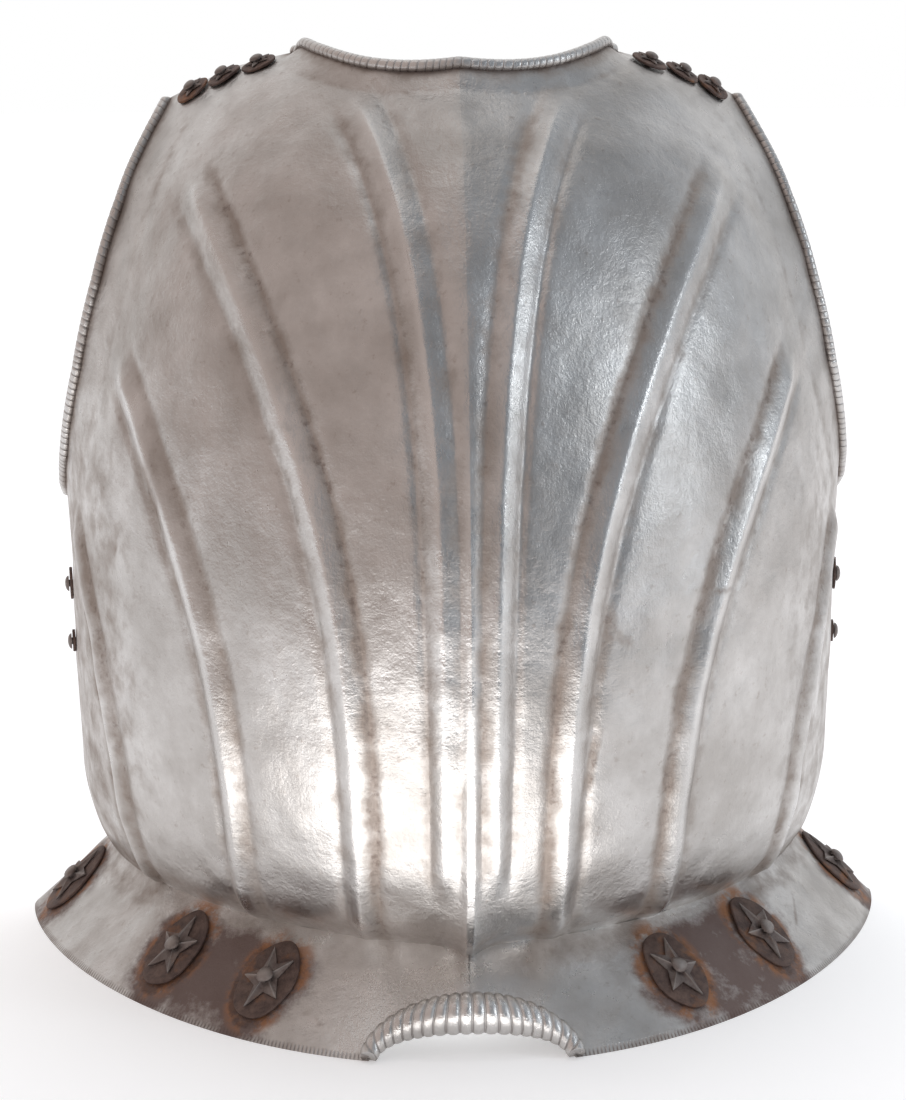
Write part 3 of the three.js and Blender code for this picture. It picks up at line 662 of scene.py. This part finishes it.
def half_plate(side, material):
    """Rings of one half: columns across, and round each column the outer face from rim to
    edge, the edge, the inner face back down, and the rim."""
    columns = side * HALF_COLUMNS[:, None]
    waist_angle, _ = on_fan(columns, 0.0)
    end = flange_end(waist_angle)
    body_angle, body_v = on_fan(columns, BODY_ROWS[None, :])
    angle = np.concatenate([np.repeat(waist_angle, len(FLANGE_ROWS), 1), body_angle], 1)
    v = np.concatenate([-FLANGE_ROWS[None, :] * end, body_v], 1)
    if side < 0:
        angle[0] = 0.0
    outer = plate_surface(angle, v, fine=True)
    outer[:, 0] = bare_surface(angle[:, 0], v[:, 0])
    outer[0, :, 0] = 0.0
    normals = facing(angle, v)
    normals[0, :, 0] = 0.0
    inner = outer - PLATE * unit(normals)
    numbers = finish_numbers(angle, v)
    rim_line = bare_surface(waist_angle[:, 0], -1.0)
    run = np.cumsum(np.r_[0, np.linalg.norm(np.diff(rim_line, axis=0), axis=1)])
    numbers["run"] = np.repeat(run[:, None], outer.shape[1], 1)
    top_out = past_edge(inner[:, -1], normals[:, -1], inner[:, -2])
    top = edge_arc(inner[:, -1], top_out, normals[:, -1], PLATE / 2)
    low_out = past_edge(inner[:, 0], normals[:, 0], inner[:, 1])
    low = edge_arc(inner[:, 0], low_out, normals[:, 0], PLATE / 2)[::-1]
    down = unit(outer[:, 0] - outer[:, 1])
    foot = inner[:, 0] - down * (inner[:, 0, 2:] / down[:, 2:])
    mix = np.linspace(0, 1, EDGE_STEPS + 1)[:, None, None]
    flat = foot * (1 - mix) + outer[:, 0] * mix
    low = np.where((end[:, 0] < 1)[None, :, None], low, flat)
    keep_rows = np.r_[0:outer.shape[1] - 1:INNER_EVERY, outer.shape[1] - 1]
    inner = inner.copy()
    inner[:, 0] = low[0]
    ring = np.concatenate([
        low[-1][:, None], outer[:, 1:-1], np.moveaxis(top, 0, 1)[:, :-1],
        inner[:, keep_rows[::-1]], np.moveaxis(low, 0, 1)[:, 1:-1]], 1)
    counts = outer.shape[1] - 1, EDGE_STEPS, len(keep_rows), EDGE_STEPS - 1
    values = {}
    for key, face in numbers.items():
        edge = np.repeat(face[:, -1:], counts[1], 1)
        back = face[:, keep_rows[::-1]]
        foot_values = np.repeat(face[:, :1], counts[3], 1)
        values[key] = np.concatenate([face[:, :-1], edge, back, foot_values], 1)
    inside = [np.zeros(counts[0]), np.full(counts[1], 0.5), np.ones(counts[2]), np.full(counts[3], 0.5)]
    values["inside"] = np.repeat(np.concatenate(inside)[None, :], len(ring), 0)
    if side < 0:
        ring, values = ring[::-1], {key: face[::-1] for key, face in values.items()}
    name = "plate_right_half" if side > 0 else "plate_left_half"
    piece = ring_mesh(name, ring, values=values, sharp=60, flat_ends=True)
    return keep(piece, "steel_plate", material, "breastplate")


# %% [markdown]
# ## Finishes
# A finish is a small network of nodes. These helpers keep each one readable: a node is made
# with its inputs in one line, whether they are numbers or other nodes' outputs. Patterns read
# Object coordinates in metres, so a scale of 100 means features about a centimetre long.

# %% Node helpers
def node(tree, kind, inputs=None, **settings):
    """New node with its settings, and its inputs set to numbers or joined to sockets."""
    made = tree.nodes.new("ShaderNode" + kind)
    for key, value in settings.items():
        setattr(made, key, value)
    for key, value in (inputs or {}).items():
        if isinstance(value, bpy.types.NodeSocket):
            tree.links.new(value, made.inputs[key])
        else:
            made.inputs[key].default_value = value
    return made


def calc(tree, operation, *values, clamp=False):
    """Math node on one, two or three numbers."""
    return node(tree, "Math", dict(enumerate(values)), operation=operation, use_clamp=clamp).outputs[0]


def noise(tree, place, scale, detail=4.0, rough=0.55):
    """Grey noise of the given scale per metre."""
    return node(tree, "TexNoise", {"Vector": place, "Scale": scale, "Detail": detail,
                                   "Roughness": rough}).outputs[0]


def stretch(tree, place, scale, turn=(0, 0, 0)):
    """The same place in turned and stretched axes, for scratches."""
    return node(tree, "Mapping", {0: place, "Scale": scale, "Rotation": turn}).outputs[0]


def levels(tree, value, low, high, out_low=0.0, out_high=1.0):
    """Maps low..high to out_low..out_high and stops at the ends."""
    return node(tree, "MapRange", {0: value, 1: low, 2: high, 3: out_low, 4: out_high}).outputs[0]


def blend(tree, share, under, over, kind="MIX"):
    """Two colours mixed by a share from 0 to 1."""
    mix = node(tree, "Mix", data_type="RGBA", blend_type=kind)
    for key, value in ((0, share), (6, under), (7, over)):
        if isinstance(value, bpy.types.NodeSocket):
            tree.links.new(value, mix.inputs[key])
        else:
            mix.inputs[key].default_value = value if key == 0 else (*value, 1.0)
    return mix.outputs[2]


def attribute(tree, name):
    """A number that the mesh carries at each of its points."""
    return node(tree, "Attribute", attribute_name=name).outputs["Fac"]


def new_finish(name):
    """Empty finish: its node tree, the shader and the Object coordinates."""
    material = bpy.data.materials.new(name)
    material.use_nodes = True
    tree = material.node_tree
    return material, tree, tree.nodes["Principled BSDF"], node(tree, "TexCoord").outputs["Object"]


# %% [markdown]
# ## Worn forged steel
# The plate is bare steel that was once bright: grey, a little warm, with a cloudy patina,
# hammer marks and fine scratches, brown stains along every hollow with painted shade in some of
# them, more painted shade under the rolls, above the waist and down the flanks, painted
# highlight on the keel and crests, and orange and dark rust round the iron rosettes. Rust is
# not metal, so it is dull and rough; rubbed crests are smooth.

# %% Steel
# The lightest colour serves both for wear and for painted highlight, and the darkest rust colour also serves
# for painted shade under the rolls.
CLEAN, CLOUDED, RUBBED_AND_HIGHLIGHT = (0.62, 0.60, 0.585), (0.45, 0.425, 0.405), (0.78, 0.77, 0.76)
STAIN, DARK_RUST_AND_SHADE, RUST_ORANGE = (0.20, 0.135, 0.095), (0.085, 0.052, 0.043), (0.36, 0.15, 0.055)
BLOOM = (0.135, 0.085, 0.073)
SOOT = (0.10, 0.078, 0.066)
NICK_PITCH = 1.9


def clean_steel(tree, place):
    """Cloudy grey metal: colour, roughness and height from noises of several sizes, with two
    sets of hair scratches that cross."""
    cloud = noise(tree, place, 22, 5, 0.6)
    mottle = noise(tree, place, 75, 5, 0.62)
    fleck = noise(tree, place, 240, 5, 0.65)
    grain = noise(tree, place, 950, 3, 0.6)
    hair = noise(tree, stretch(tree, place, (1500, 1500, 60), (0, 0.35, 0.1)), 1.0, 2)
    hair_2 = noise(tree, stretch(tree, place, (60, 1300, 1400), (0, 0.3, 0)), 1.0, 2)
    colour = blend(tree, levels(tree, cloud, 0.36, 0.64), CLOUDED, CLEAN)
    colour = blend(tree, levels(tree, mottle, 0.48, 0.70, 0, 0.45), colour, CLOUDED)
    colour = blend(tree, levels(tree, fleck, 0.60, 0.74, 0, 0.35), colour, STAIN)
    height = calc(tree, "MULTIPLY", mottle, 1.0)
    for part, share in ((fleck, 0.46), (grain, 0.18), (hair, 0.10), (hair_2, 0.07)):
        height = calc(tree, "MULTIPLY_ADD", part, share, height)
    rough = levels(tree, mottle, 0.3, 0.7, 0.27, 0.40)
    rough = calc(tree, "ADD", rough, levels(tree, hair, 0.35, 0.65, -0.02, 0.04))
    return colour, rough, height, mottle, fleck


def rim_nicks(tree):
    """Fine upright nicks along the lowest few millimetres of the flange."""
    near_rim = levels(tree, attribute(tree, "rim"), 1.5, 3.6, 1, 0)
    wave = calc(tree, "SINE", calc(tree, "MULTIPLY", attribute(tree, "run"), 2 * np.pi / NICK_PITCH))
    return calc(tree, "MULTIPLY", near_rim, levels(tree, wave, 0.0, 0.8))


def edge_nicks(tree):
    """Thin dark lines where the number called cut passes a whole number."""
    wave = calc(tree, "COSINE", calc(tree, "MULTIPLY", attribute(tree, "cut"), 2 * np.pi))
    return levels(tree, wave, 0.80, 0.985)


def steel_finish(name, on_plate=True):
    """Bare old steel that reads the numbers on the mesh: rust (with some painted shade) and worn
    (wear with painted highlight) on all of it, crease (painted shade with rust under the rolls),
    halo, rim, run and inside on the plate, and cut on the rolls."""
    material, tree, shader, place = new_finish(name)
    colour, rough, height, mottle, fleck = clean_steel(tree, place)
    rust = attribute(tree, "rust")
    # brown from the rust number, which also carries painted shade at the flute feet, above the waist, on the
    # flanks and under the rolls
    ragged = calc(tree, "MULTIPLY_ADD", levels(tree, mottle, 0.30, 0.70, -1, 1), 0.34, rust)
    stain = calc(tree, "MULTIPLY", levels(tree, ragged, 0.12, 0.95), levels(tree, rust, 0.03, 0.2))
    colour = blend(tree, calc(tree, "MULTIPLY", stain, 0.62), colour, STAIN)
    deep = calc(tree, "MULTIPLY", rust, levels(tree, fleck, 0.42, 0.66))
    colour = blend(tree, levels(tree, deep, 0.35, 0.95, 0, 0.45), colour, DARK_RUST_AND_SHADE)
    dull = calc(tree, "MULTIPLY", stain, 0.42)
    nick = rim_nicks(tree) if on_plate else edge_nicks(tree)
    colour = blend(tree, calc(tree, "MULTIPLY", nick, 0.55 if on_plate else 0.5), colour, DARK_RUST_AND_SHADE)
    height = calc(tree, "MULTIPLY_ADD", nick, -0.9, height)
    dull = calc(tree, "MAXIMUM", dull, calc(tree, "MULTIPLY", nick, 0.5))
    if on_plate:
        # painted shade with rust in the crease under each roll: darkened and dulled
        crease = attribute(tree, "crease")
        colour = blend(tree, levels(tree, crease, 0.1, 0.75, 0, 0.85), colour, DARK_RUST_AND_SHADE)
        halo = attribute(tree, "halo")
        uneven = levels(tree, noise(tree, place, 40, 6, 0.72), 0.28, 0.72, -0.80, 0.55)
        patch = calc(tree, "MULTIPLY_ADD", uneven, levels(tree, halo, 0.02, 0.35), halo)
        bloom = levels(tree, patch, 0.05, 0.75, 0, 0.92)
        fringe = noise(tree, place, 95, 5, 0.7)
        near = levels(tree, attribute(tree, "ring"), 0.15, 0.8)
        orange = calc(tree, "MULTIPLY", near, levels(tree, fringe, 0.44, 0.58))
        black = levels(tree, calc(tree, "MULTIPLY", near, patch), 0.75, 1.1, 0, 0.8)
        colour = blend(tree, bloom, colour, BLOOM)
        colour = blend(tree, calc(tree, "MULTIPLY", orange, 0.75), colour, RUST_ORANGE)
        colour = blend(tree, black, colour, DARK_RUST_AND_SHADE)
        dull = calc(tree, "MAXIMUM", dull, calc(tree, "MULTIPLY", bloom, 0.85))
        dull = calc(tree, "MAXIMUM", dull, levels(tree, crease, 0.1, 0.75, 0, 0.7))
        inside = attribute(tree, "inside")
        colour = blend(tree, levels(tree, inside, 0.5, 1.0, 0, 0.85), colour, SOOT)
        dull = calc(tree, "MAXIMUM", dull, levels(tree, inside, 0.5, 1.0, 0, 0.7))
    # lighter colour where worn: wear, and painted highlight on the keel, crests and flange
    wear_and_highlight = attribute(tree, "wear_and_highlight")
    colour = blend(tree, calc(tree, "MULTIPLY", wear_and_highlight, 0.55), colour, RUBBED_AND_HIGHLIGHT)
    rough = calc(tree, "MULTIPLY_ADD", wear_and_highlight, -0.06, rough)
    rough = calc(tree, "MULTIPLY_ADD", dull, 0.40, rough)
    tree.links.new(colour, shader.inputs["Base Color"])
    tree.links.new(rough, shader.inputs["Roughness"])
    tree.links.new(calc(tree, "MULTIPLY_ADD", dull, -0.9, 1.0), shader.inputs["Metallic"])
    bump = node(tree, "Bump", {"Height": height, "Strength": 0.56, "Distance": 0.0012})
    tree.links.new(bump.outputs[0], shader.inputs["Normal"])
    return material


plate_steel = steel_finish("worn_forged_steel")
roll_steel = steel_finish("worn_roped_steel", on_plate=False)
for half in (1, -1):
    half_plate(half, plate_steel)
print("plate halves:", finished[-2:])

# %% [markdown]
# ## Roped edges
# The neck and arm edges are turned over a wire and then cut with slanting nicks, so that the
# roll looks like a rope. Each is a bead carried along the edge of the sheet, whose radius dips
# in narrow bell curves that lean round the bead.

# %% Beads along the edges
def bead(root, out, normal, radius, phase, depth, width, around=28):
    """Closed bead: root + out * r sin + normal * (R - r cos) round each point of the path.
    phase tells where each point lies among the grooves, and the radius r is R less a bell
    curve of the given width at every whole number. The finish draws its nicks from it too."""
    turn = np.linspace(0, 2 * np.pi, around, endpoint=False)[None, :]
    cut = phase(turn)
    away = np.abs((cut + 0.5) % 1 - 0.5)
    big = radius[:, None]
    small = big * (1 - depth * np.exp(-((away / width) ** 2)))
    rings = (root[:, None] + out[:, None] * (small * np.sin(turn))[..., None]
             + normal[:, None] * (big - small * np.cos(turn))[..., None])
    # under: rust and painted shade on the underside of the bead, next to the sheet; the top of the bead is
    # lighter for wear and painted highlight
    under = bell(turn, 1.62 * np.pi, 0.7) + bell(turn, 0.12 * np.pi, 0.5)
    flat = 0 * big
    values = dict(rust=np.clip(0.04 + 0.6 * under + flat, 0, 1), cut=cut,
                  wear_and_highlight=0.9 * bell(turn, 1.0 * np.pi, 1.2) + flat)
    return rings, values


def edge_path(columns, rows=(1.0, 0.985)):
    """Inner edge points of the sheet along its top, with the directions past the edge and out
    of the sheet."""
    angle, v = on_fan(columns, rows[0])
    below_angle, below_v = on_fan(columns, rows[1])
    normal = facing(angle, v)
    root = plate_surface(angle, v) - PLATE * normal
    inside = plate_surface(below_angle, below_v) - PLATE * facing(below_angle, below_v)
    return root, past_edge(root, normal, inside), normal


def even_run(columns, samples):
    """Columns spaced evenly by length along the edge, and the length up to each."""
    line = edge_path(columns)[0]
    run = np.r_[0, np.cumsum(np.linalg.norm(np.diff(line, axis=0), axis=1))]
    even = np.linspace(0, run[-1], samples)
    return np.interp(even, run, columns), even


EDGE_ROLL = 2.6
ROPE_PITCH = 3.4
ROPE_LEAN = 0.8


def roped_edge(name, columns, samples, lean=1.0):
    """Roll along a stretch of the plate's edge, with slanting nicks at an uneven pitch: their
    phase grows with the run along the edge and leans round the bead."""
    columns, run = even_run(columns, samples)
    root, out, normal = edge_path(columns)
    ends = np.minimum(run, run[-1] - run)
    radius = EDGE_ROLL * (0.35 + 0.65 * smooth(ends, -0.8, 2.6) ** 0.6)
    uneven = 0.22 * np.sin(run / 7.3) + 0.16 * np.sin(run / 3.1 + 1)

    def phase(turn):
        return (run / ROPE_PITCH + uneven)[:, None] + lean * ROPE_LEAN * turn / (2 * np.pi)

    rings, values = bead(root, out, normal, radius, phase, 0.07, 0.13)
    piece = ring_mesh(name, rings, values=values, sharp=75)
    return keep(piece, "steel_plate", roll_steel, "breastplate")


roped_edge("neck_roll", np.linspace(-neck_corner, neck_corner, 301), 560)
roped_edge("right_arm_roll", np.linspace(LINE["arm_corner"], LAST, 301), 560)
roped_edge("left_arm_roll", -np.linspace(LINE["arm_corner"], LAST, 301), 560, -1.0)
print("rolls:", finished[-3:])

# %% [markdown]
# ## The fluted roll over the fork
# The arched cut-out has the boldest roll of all, thick at its crown and thinner at its feet.
# Its grooves are wider than the rope's and bend like a flat S, leaning outward on both sides.

# %% Arch roll
ARCH_ROLL, ARCH_END_ROLL = 9.2, 4.2
ARCH_GROOVES = 21


def arch_roll(samples=360):
    """Bead along the half ellipse of the cut-out, with S-shaped grooves round it. Its feet are
    filed flat: no point is lower than the table, z = max(z, 0)."""
    way = np.linspace(-1, 1, samples)
    x = ARCH_HALF * np.sin(way * np.pi / 2) * 0.9995
    angle = np.arcsin(x / RIM["width"])
    v = -flange_end(angle)
    normal = facing(angle, v)
    root = bare_surface(angle, v) - PLATE * normal
    inside = bare_surface(angle, v + 0.02) - PLATE * normal
    out = past_edge(root, normal, inside)
    radius = ARCH_END_ROLL + (ARCH_ROLL - ARCH_END_ROLL) * (1 - np.abs(x / ARCH_HALF) ** 2)
    run = np.r_[0, np.cumsum(np.linalg.norm(np.diff(root, axis=0), axis=1))]
    run = run / run[-1] * ARCH_GROOVES

    def phase(turn):
        lean = np.sign(way)[:, None] * smooth(np.abs(way), 0, 0.3)[:, None]
        return run[:, None] + 0.5 + 0.62 * lean * np.sin(turn - np.pi)

    rings, values = bead(root, out, normal, radius, phase, 0.09, 0.20, around=56)
    rings[..., 2] = np.maximum(rings[..., 2], 0.0)
    piece = ring_mesh("arch_roll", rings, values=values, sharp=75)
    return keep(piece, "steel_plate", roll_steel, "breastplate")


arch_roll()
print("arch roll:", finished[-1])

# %% [markdown]
# ## Rosettes
# Each rosette is a disc of thin iron, a cast or filed star with an arris along every ray, and
# one domed rivet through the pile. Disc and star follow the curve of the plate, so they are
# laid out flat in polar rings and then dropped on it. All of it is iron gone brown and black.

# %% Iron finishes
def iron_finish(name, dark, light, orange, metal, rough):
    """Rusted iron: two browns in flecks, an orange bloom, pits, and a dull shine."""
    material, tree, shader, place = new_finish(name)
    fleck = noise(tree, place, 210, 6, 0.65)
    bloom = noise(tree, place, 75, 5, 0.6)
    pits = noise(tree, place, 700, 4, 0.7)
    colour = blend(tree, levels(tree, fleck, 0.36, 0.66), dark, light)
    colour = blend(tree, levels(tree, bloom, 0.54, 0.72, 0, orange), colour, RUST_ORANGE)
    wear_and_highlight = attribute(tree, "wear_and_highlight")
    colour = blend(tree, calc(tree, "MULTIPLY", wear_and_highlight, 0.7), colour, (0.40, 0.37, 0.35))
    shine = calc(tree, "ADD", metal, calc(tree, "MULTIPLY", wear_and_highlight, 0.4), clamp=True)
    tree.links.new(colour, shader.inputs["Base Color"])
    tree.links.new(shine, shader.inputs["Metallic"])
    tree.links.new(levels(tree, fleck, 0.3, 0.7, rough - 0.1, rough + 0.12), shader.inputs["Roughness"])
    height = calc(tree, "ADD", calc(tree, "MULTIPLY", fleck, 0.7), calc(tree, "MULTIPLY", pits, 0.4))
    bump = node(tree, "Bump", {"Height": height, "Strength": 0.55, "Distance": 0.0012})
    tree.links.new(bump.outputs[0], shader.inputs["Normal"])
    return material


disc_iron = iron_finish("rusted_disc_iron", (0.075, 0.048, 0.042), (0.17, 0.115, 0.095), 0.75, 0.35, 0.66)
star_iron = iron_finish("dark_star_iron", (0.12, 0.09, 0.082), (0.22, 0.185, 0.17), 0.3, 0.5, 0.52)
rivet_iron = iron_finish("worn_rivet_iron", (0.13, 0.10, 0.09), (0.25, 0.215, 0.20), 0.2, 0.6, 0.46)

# %% Discs, stars and rivets
GAP = 0.4
AROUND = 60
HOLE_PLAY = 0.5
TAIL_GAP = 1.3
SIDE_SET = dict(thick=1.4, head=3.8, shank=1.7)


def disc(name, seat, radius, thick, hole, seed, oval=ROUND, base=GAP):
    """Rings of a flat washer: inner edge, outer edge, rounded rim and a slightly dished top.
    The outline wavers by a few waves round it, as iron cut by hand and eaten by rust does."""
    turn = np.linspace(0, 2 * np.pi, AROUND, endpoint=False)
    waver = 1 - 0.035 * (1 + np.sin(2 * turn + seed) * 0.5 + np.sin(5 * turn + 2 * seed) * 0.5)
    rows = np.array([(0, 0), (0.5, 0), (0.97, 0), (1, 0.3), (1, 0.75), (0.97, 1), (0.7, 1.0),
                     (0.4, 1.0), (0, 1.0)])
    reach = hole + (radius * waver[None, :] - hole) * rows[:, :1]
    lift = base + thick * rows[:, 1:] + 0 * reach
    lift = lift - 0.12 * rows[:, 1:] * (1 + np.sin(3 * turn + seed))
    wide, tall = (np.where(rows[:, :1] > 0, k, 1.0) for k in oval)
    return ring_mesh(name, seat.over(wide * reach * np.cos(turn), tall * reach * np.sin(turn), lift),
                     closed=True, sharp=40, values=dict(wear_and_highlight=0.0 * reach))


def star(name, seat, radius, base, raise_, hole, turned, oval):
    """Five rays: the outline is a straight line from tip to notch and back, and the top falls
    from the hub to each tip along an arris and from the arris down to both sides."""
    steps = 8
    k = np.arange(10 * steps)
    share = (k % steps) / steps
    corner = k // steps
    even = corner % 2 == 0
    tip_share = np.where(even, 1 - share, share)
    first = turned + 2 * np.pi * corner / 10
    second = first + 2 * np.pi / 10
    r1, r2 = np.where(even, radius, 0.46 * radius), np.where(even, 0.46 * radius, radius)
    x = r1 * np.cos(first) * (1 - share) + r2 * np.cos(second) * share
    y = r1 * np.sin(first) * (1 - share) + r2 * np.sin(second) * share
    away = np.arctan2(y, x)
    hub_x, hub_y = hole * np.cos(away), hole * np.sin(away)
    rows = np.array([(0, 0), (1, 0), (1, 1), (0.96, 1), (0.7, 1), (0.4, 1), (0.15, 1), (0, 1)])
    s = rows[:, :1]
    arris = tip_share**1.6
    top = raise_ * (0.16 + (0.84 - 0.52 * s) * (0.12 + 0.88 * arris) * (1 - 0.45 * s**6))
    lift = base + rows[:, 1:] * top
    px = hub_x + (x * oval[0] - hub_x) * s
    py = hub_y + (y * oval[1] - hub_y) * s
    wear_and_highlight = rows[:, 1:] * np.clip((tip_share - 0.82) / 0.18, 0, 1)
    return ring_mesh(name, seat.over(px, py, lift), closed=True, sharp=28, values=dict(wear_and_highlight=wear_and_highlight))


def rivet(name, seat, head, shank, head_base):
    """Turned profile from the flat tail inside, along the shank, to a hammered dome outside."""
    dome = head * 0.5
    tail = -PLATE - TAIL_GAP
    bow = np.linspace(0, np.pi / 2, 9)[:-1]
    profile = np.array([(0.02, tail - 1.2), (shank * 1.55, tail - 1.2), (shank * 1.7, tail - 0.9),
                        (shank * 1.7, tail), (shank, tail), (shank, head_base),
                        *zip(head * np.cos(bow), head_base + dome * np.sin(bow)), (0.02, head_base + dome)])
    turn = np.linspace(0, 2 * np.pi, 32, endpoint=False)
    flat = 1 - 0.05 * np.sin(3 * turn + head_base)[None, :]
    reach = profile[:, :1] * flat
    lift = profile[:, 1:] + 0 * reach
    wear_and_highlight = np.clip((lift - head_base) / dome - 0.5, 0, 1) * 1.6
    return ring_mesh(name, seat.straight(reach * np.cos(turn), reach * np.sin(turn), lift),
                     values=dict(wear_and_highlight=wear_and_highlight), sharp=45)


def rosette(prefix, name, seat, sizes, turned, seed, oval):
    """Disc, star and rivet of one rosette, each in place of its node."""
    hole = sizes["shank"] + HOLE_PLAY
    disc_base = GAP + sizes["lift"]
    star_base = disc_base + sizes["thick"] + GAP
    nodes = [f"{prefix}_{kind}_{name}" for kind in ("disc", "star", "rivet")]
    pieces = (
        disc(nodes[0] + "_iron", seat, sizes["disc"], sizes["thick"], hole, seed, oval, disc_base),
        star(nodes[1] + "_iron", seat, sizes["star"], star_base, sizes["raise_"], hole, turned, oval),
        rivet(nodes[2] + "_iron", seat, sizes["head"], sizes["shank"], star_base + sizes["raise_"] + GAP))
    slots = ("iron_disc", "iron_star", "iron_rivet")
    for piece, slot, finish, cad in zip(pieces, slots, (disc_iron, star_iron, rivet_iron), nodes):
        keep(piece, slot, finish, cad)


for number, (name, seat) in enumerate(flange_seats.items()):
    turned = np.radians(FLANGE_ROSETTES[name][2])
    rosette("flange", name, seat, FLANGE_SET, turned, number, OVAL)
for number, (name, seat) in enumerate(shoulder_seats.items()):
    rosette("shoulder", name, seat, SHOULDER_SET, np.pi / 2, number + 9, ROUND)
for number, (name, seat) in enumerate(side_seats.items()):
    washer = disc(f"side_washer_{name}_iron", seat, SIDE_RIVETS[name][2], SIDE_SET["thick"],
                  SIDE_SET["shank"] + HOLE_PLAY, number)
    keep(washer, "iron_disc", disc_iron, f"side_washer_{name}")
    pin = rivet(f"side_rivet_{name}_iron", seat, SIDE_SET["head"], SIDE_SET["shank"],
                2 * GAP + SIDE_SET["thick"])
    keep(pin, "iron_rivet", rivet_iron, f"side_rivet_{name}")
print("rosette pieces:", len(finished) - 6, "triangles in all:", sum(n for _, n in finished))

# %% [markdown]
# ## Floor and surroundings
# Polished metal shows its surroundings more than its own colour. The plate stands near the
# front of a white table in a white corner. It is bright behind and at both sides; the part of
# the room in front is dim, warm on one hand and cool and darker on the other, and the keel
# divides the two. The table ends half a metre in front of the plate, so only the lower
# belly, which leans down, shows it as the bright area over the waist.

# %% Floor
TABLE = dict(left=-6.0, right=6.0, front=-0.62, back=9.0)


def floor():
    """Wide flat sheet at the height of the rim. A little of its light is its own, which keeps
    it white up to the wall."""
    x, y = (TABLE["left"], TABLE["right"]), (TABLE["front"], TABLE["back"])
    mesh = bpy.data.meshes.new("table_top")
    mesh.from_pydata([(x[0], y[0], 0), (x[1], y[0], 0), (x[1], y[1], 0), (x[0], y[1], 0)],
                     [], [(0, 1, 2, 3)])
    table = bpy.data.objects.new("table_top", mesh)
    bpy.context.scene.collection.objects.link(table)
    material, tree, shader, place = new_finish("white_table")
    shader.inputs["Base Color"].default_value = (0.88, 0.89, 0.905, 1)
    shader.inputs["Roughness"].default_value = 0.85
    shader.inputs["Specular IOR Level"].default_value = 0.15
    shader.inputs["Emission Color"].default_value = (1.0, 1.0, 1.0, 1)
    far = node(tree, "SeparateXYZ", {0: place}).outputs[1]
    tree.links.new(levels(tree, far, 0.4, 3.0, 0.30, 0.60), shader.inputs["Emission Strength"])
    mesh.materials.append(material)


floor()

# %% Surroundings
WARM, COOL_DARK, COOL = (0.57, 0.49, 0.46), (0.25, 0.275, 0.305), (0.50, 0.545, 0.60)


def surroundings():
    """World light by direction: white behind and straight above, except for a dim front whose
    colour goes from warm on one side, quickly through dark and cool at the middle, to pale and
    cool on the other."""
    world = bpy.data.worlds.new("white_corner")
    bpy.context.scene.world = world
    world.use_nodes = True
    tree = world.node_tree
    sky = tree.nodes["Background"]
    way = node(tree, "SeparateXYZ", {0: node(tree, "TexCoord").outputs["Generated"]})
    x, y, z = way.outputs
    overhead = levels(tree, z, 0.90, 0.985, 1, 0.15)
    dim = calc(tree, "MULTIPLY", levels(tree, y, 0.85, 0.15), overhead)
    room = blend(tree, levels(tree, x, -0.10, 0.14), WARM, COOL_DARK)
    room = blend(tree, levels(tree, x, 0.30, 0.85), room, COOL)
    colour = blend(tree, dim, (1.0, 1.0, 1.0), room)
    tree.links.new(colour, sky.inputs["Color"])
    sky.inputs["Strength"].default_value = 1.0


surroundings()

# %% [markdown]
# ## Lights
# A broad soft light overhead whitens the table and casts the faint shadow round the flange.
# A lit patch of the table itself, left of the middle, gives the bright area on the belly and
# the streak along the keel. A narrow cool one far to the right draws thin lines on the flutes.

# %% Soft lights
def soft_light(name, place, aim, size, power, colour, mirrored=True):
    """Rectangular area light that looks from place at aim, both in metres. One that is not
    mirrored lights the table but does not show in the steel."""
    lamp = bpy.data.lights.new(name, "AREA")
    lamp.shape = "RECTANGLE"
    lamp.size, lamp.size_y = size
    lamp.energy = power
    lamp.color = colour
    light = bpy.data.objects.new(name, lamp)
    bpy.context.scene.collection.objects.link(light)
    back = unit(np.array(place) - np.array(aim))
    level = [0, 1, 0] if abs(back[2]) > 0.99 else [0, 0, 1]
    right = unit(np.cross(level, back))
    up = np.cross(back, right)
    light.matrix_world = Matrix([[right[k], up[k], back[k], place[k]] for k in range(3)] + [[0, 0, 0, 1]])
    light.visible_glossy = mirrored
    light.visible_camera = False


soft_light("overhead", (0.15, 0.6, 1.9), (0, 0.1, 0), (1.6, 1.6), 14, (1.0, 1.0, 1.0), False)
soft_light("lit_table", (-0.07, -0.28, 0.004), (-0.07, -0.28, 1), (0.40, 0.30), 0.72, (1.0, 0.99, 0.97))
soft_light("far_right", (1.9, -0.75, 0.75), (0, 0, 0.25), (0.30, 1.2), 5, (0.90, 0.96, 1.0))
bpy.context.scene.view_settings.view_transform = "Standard"
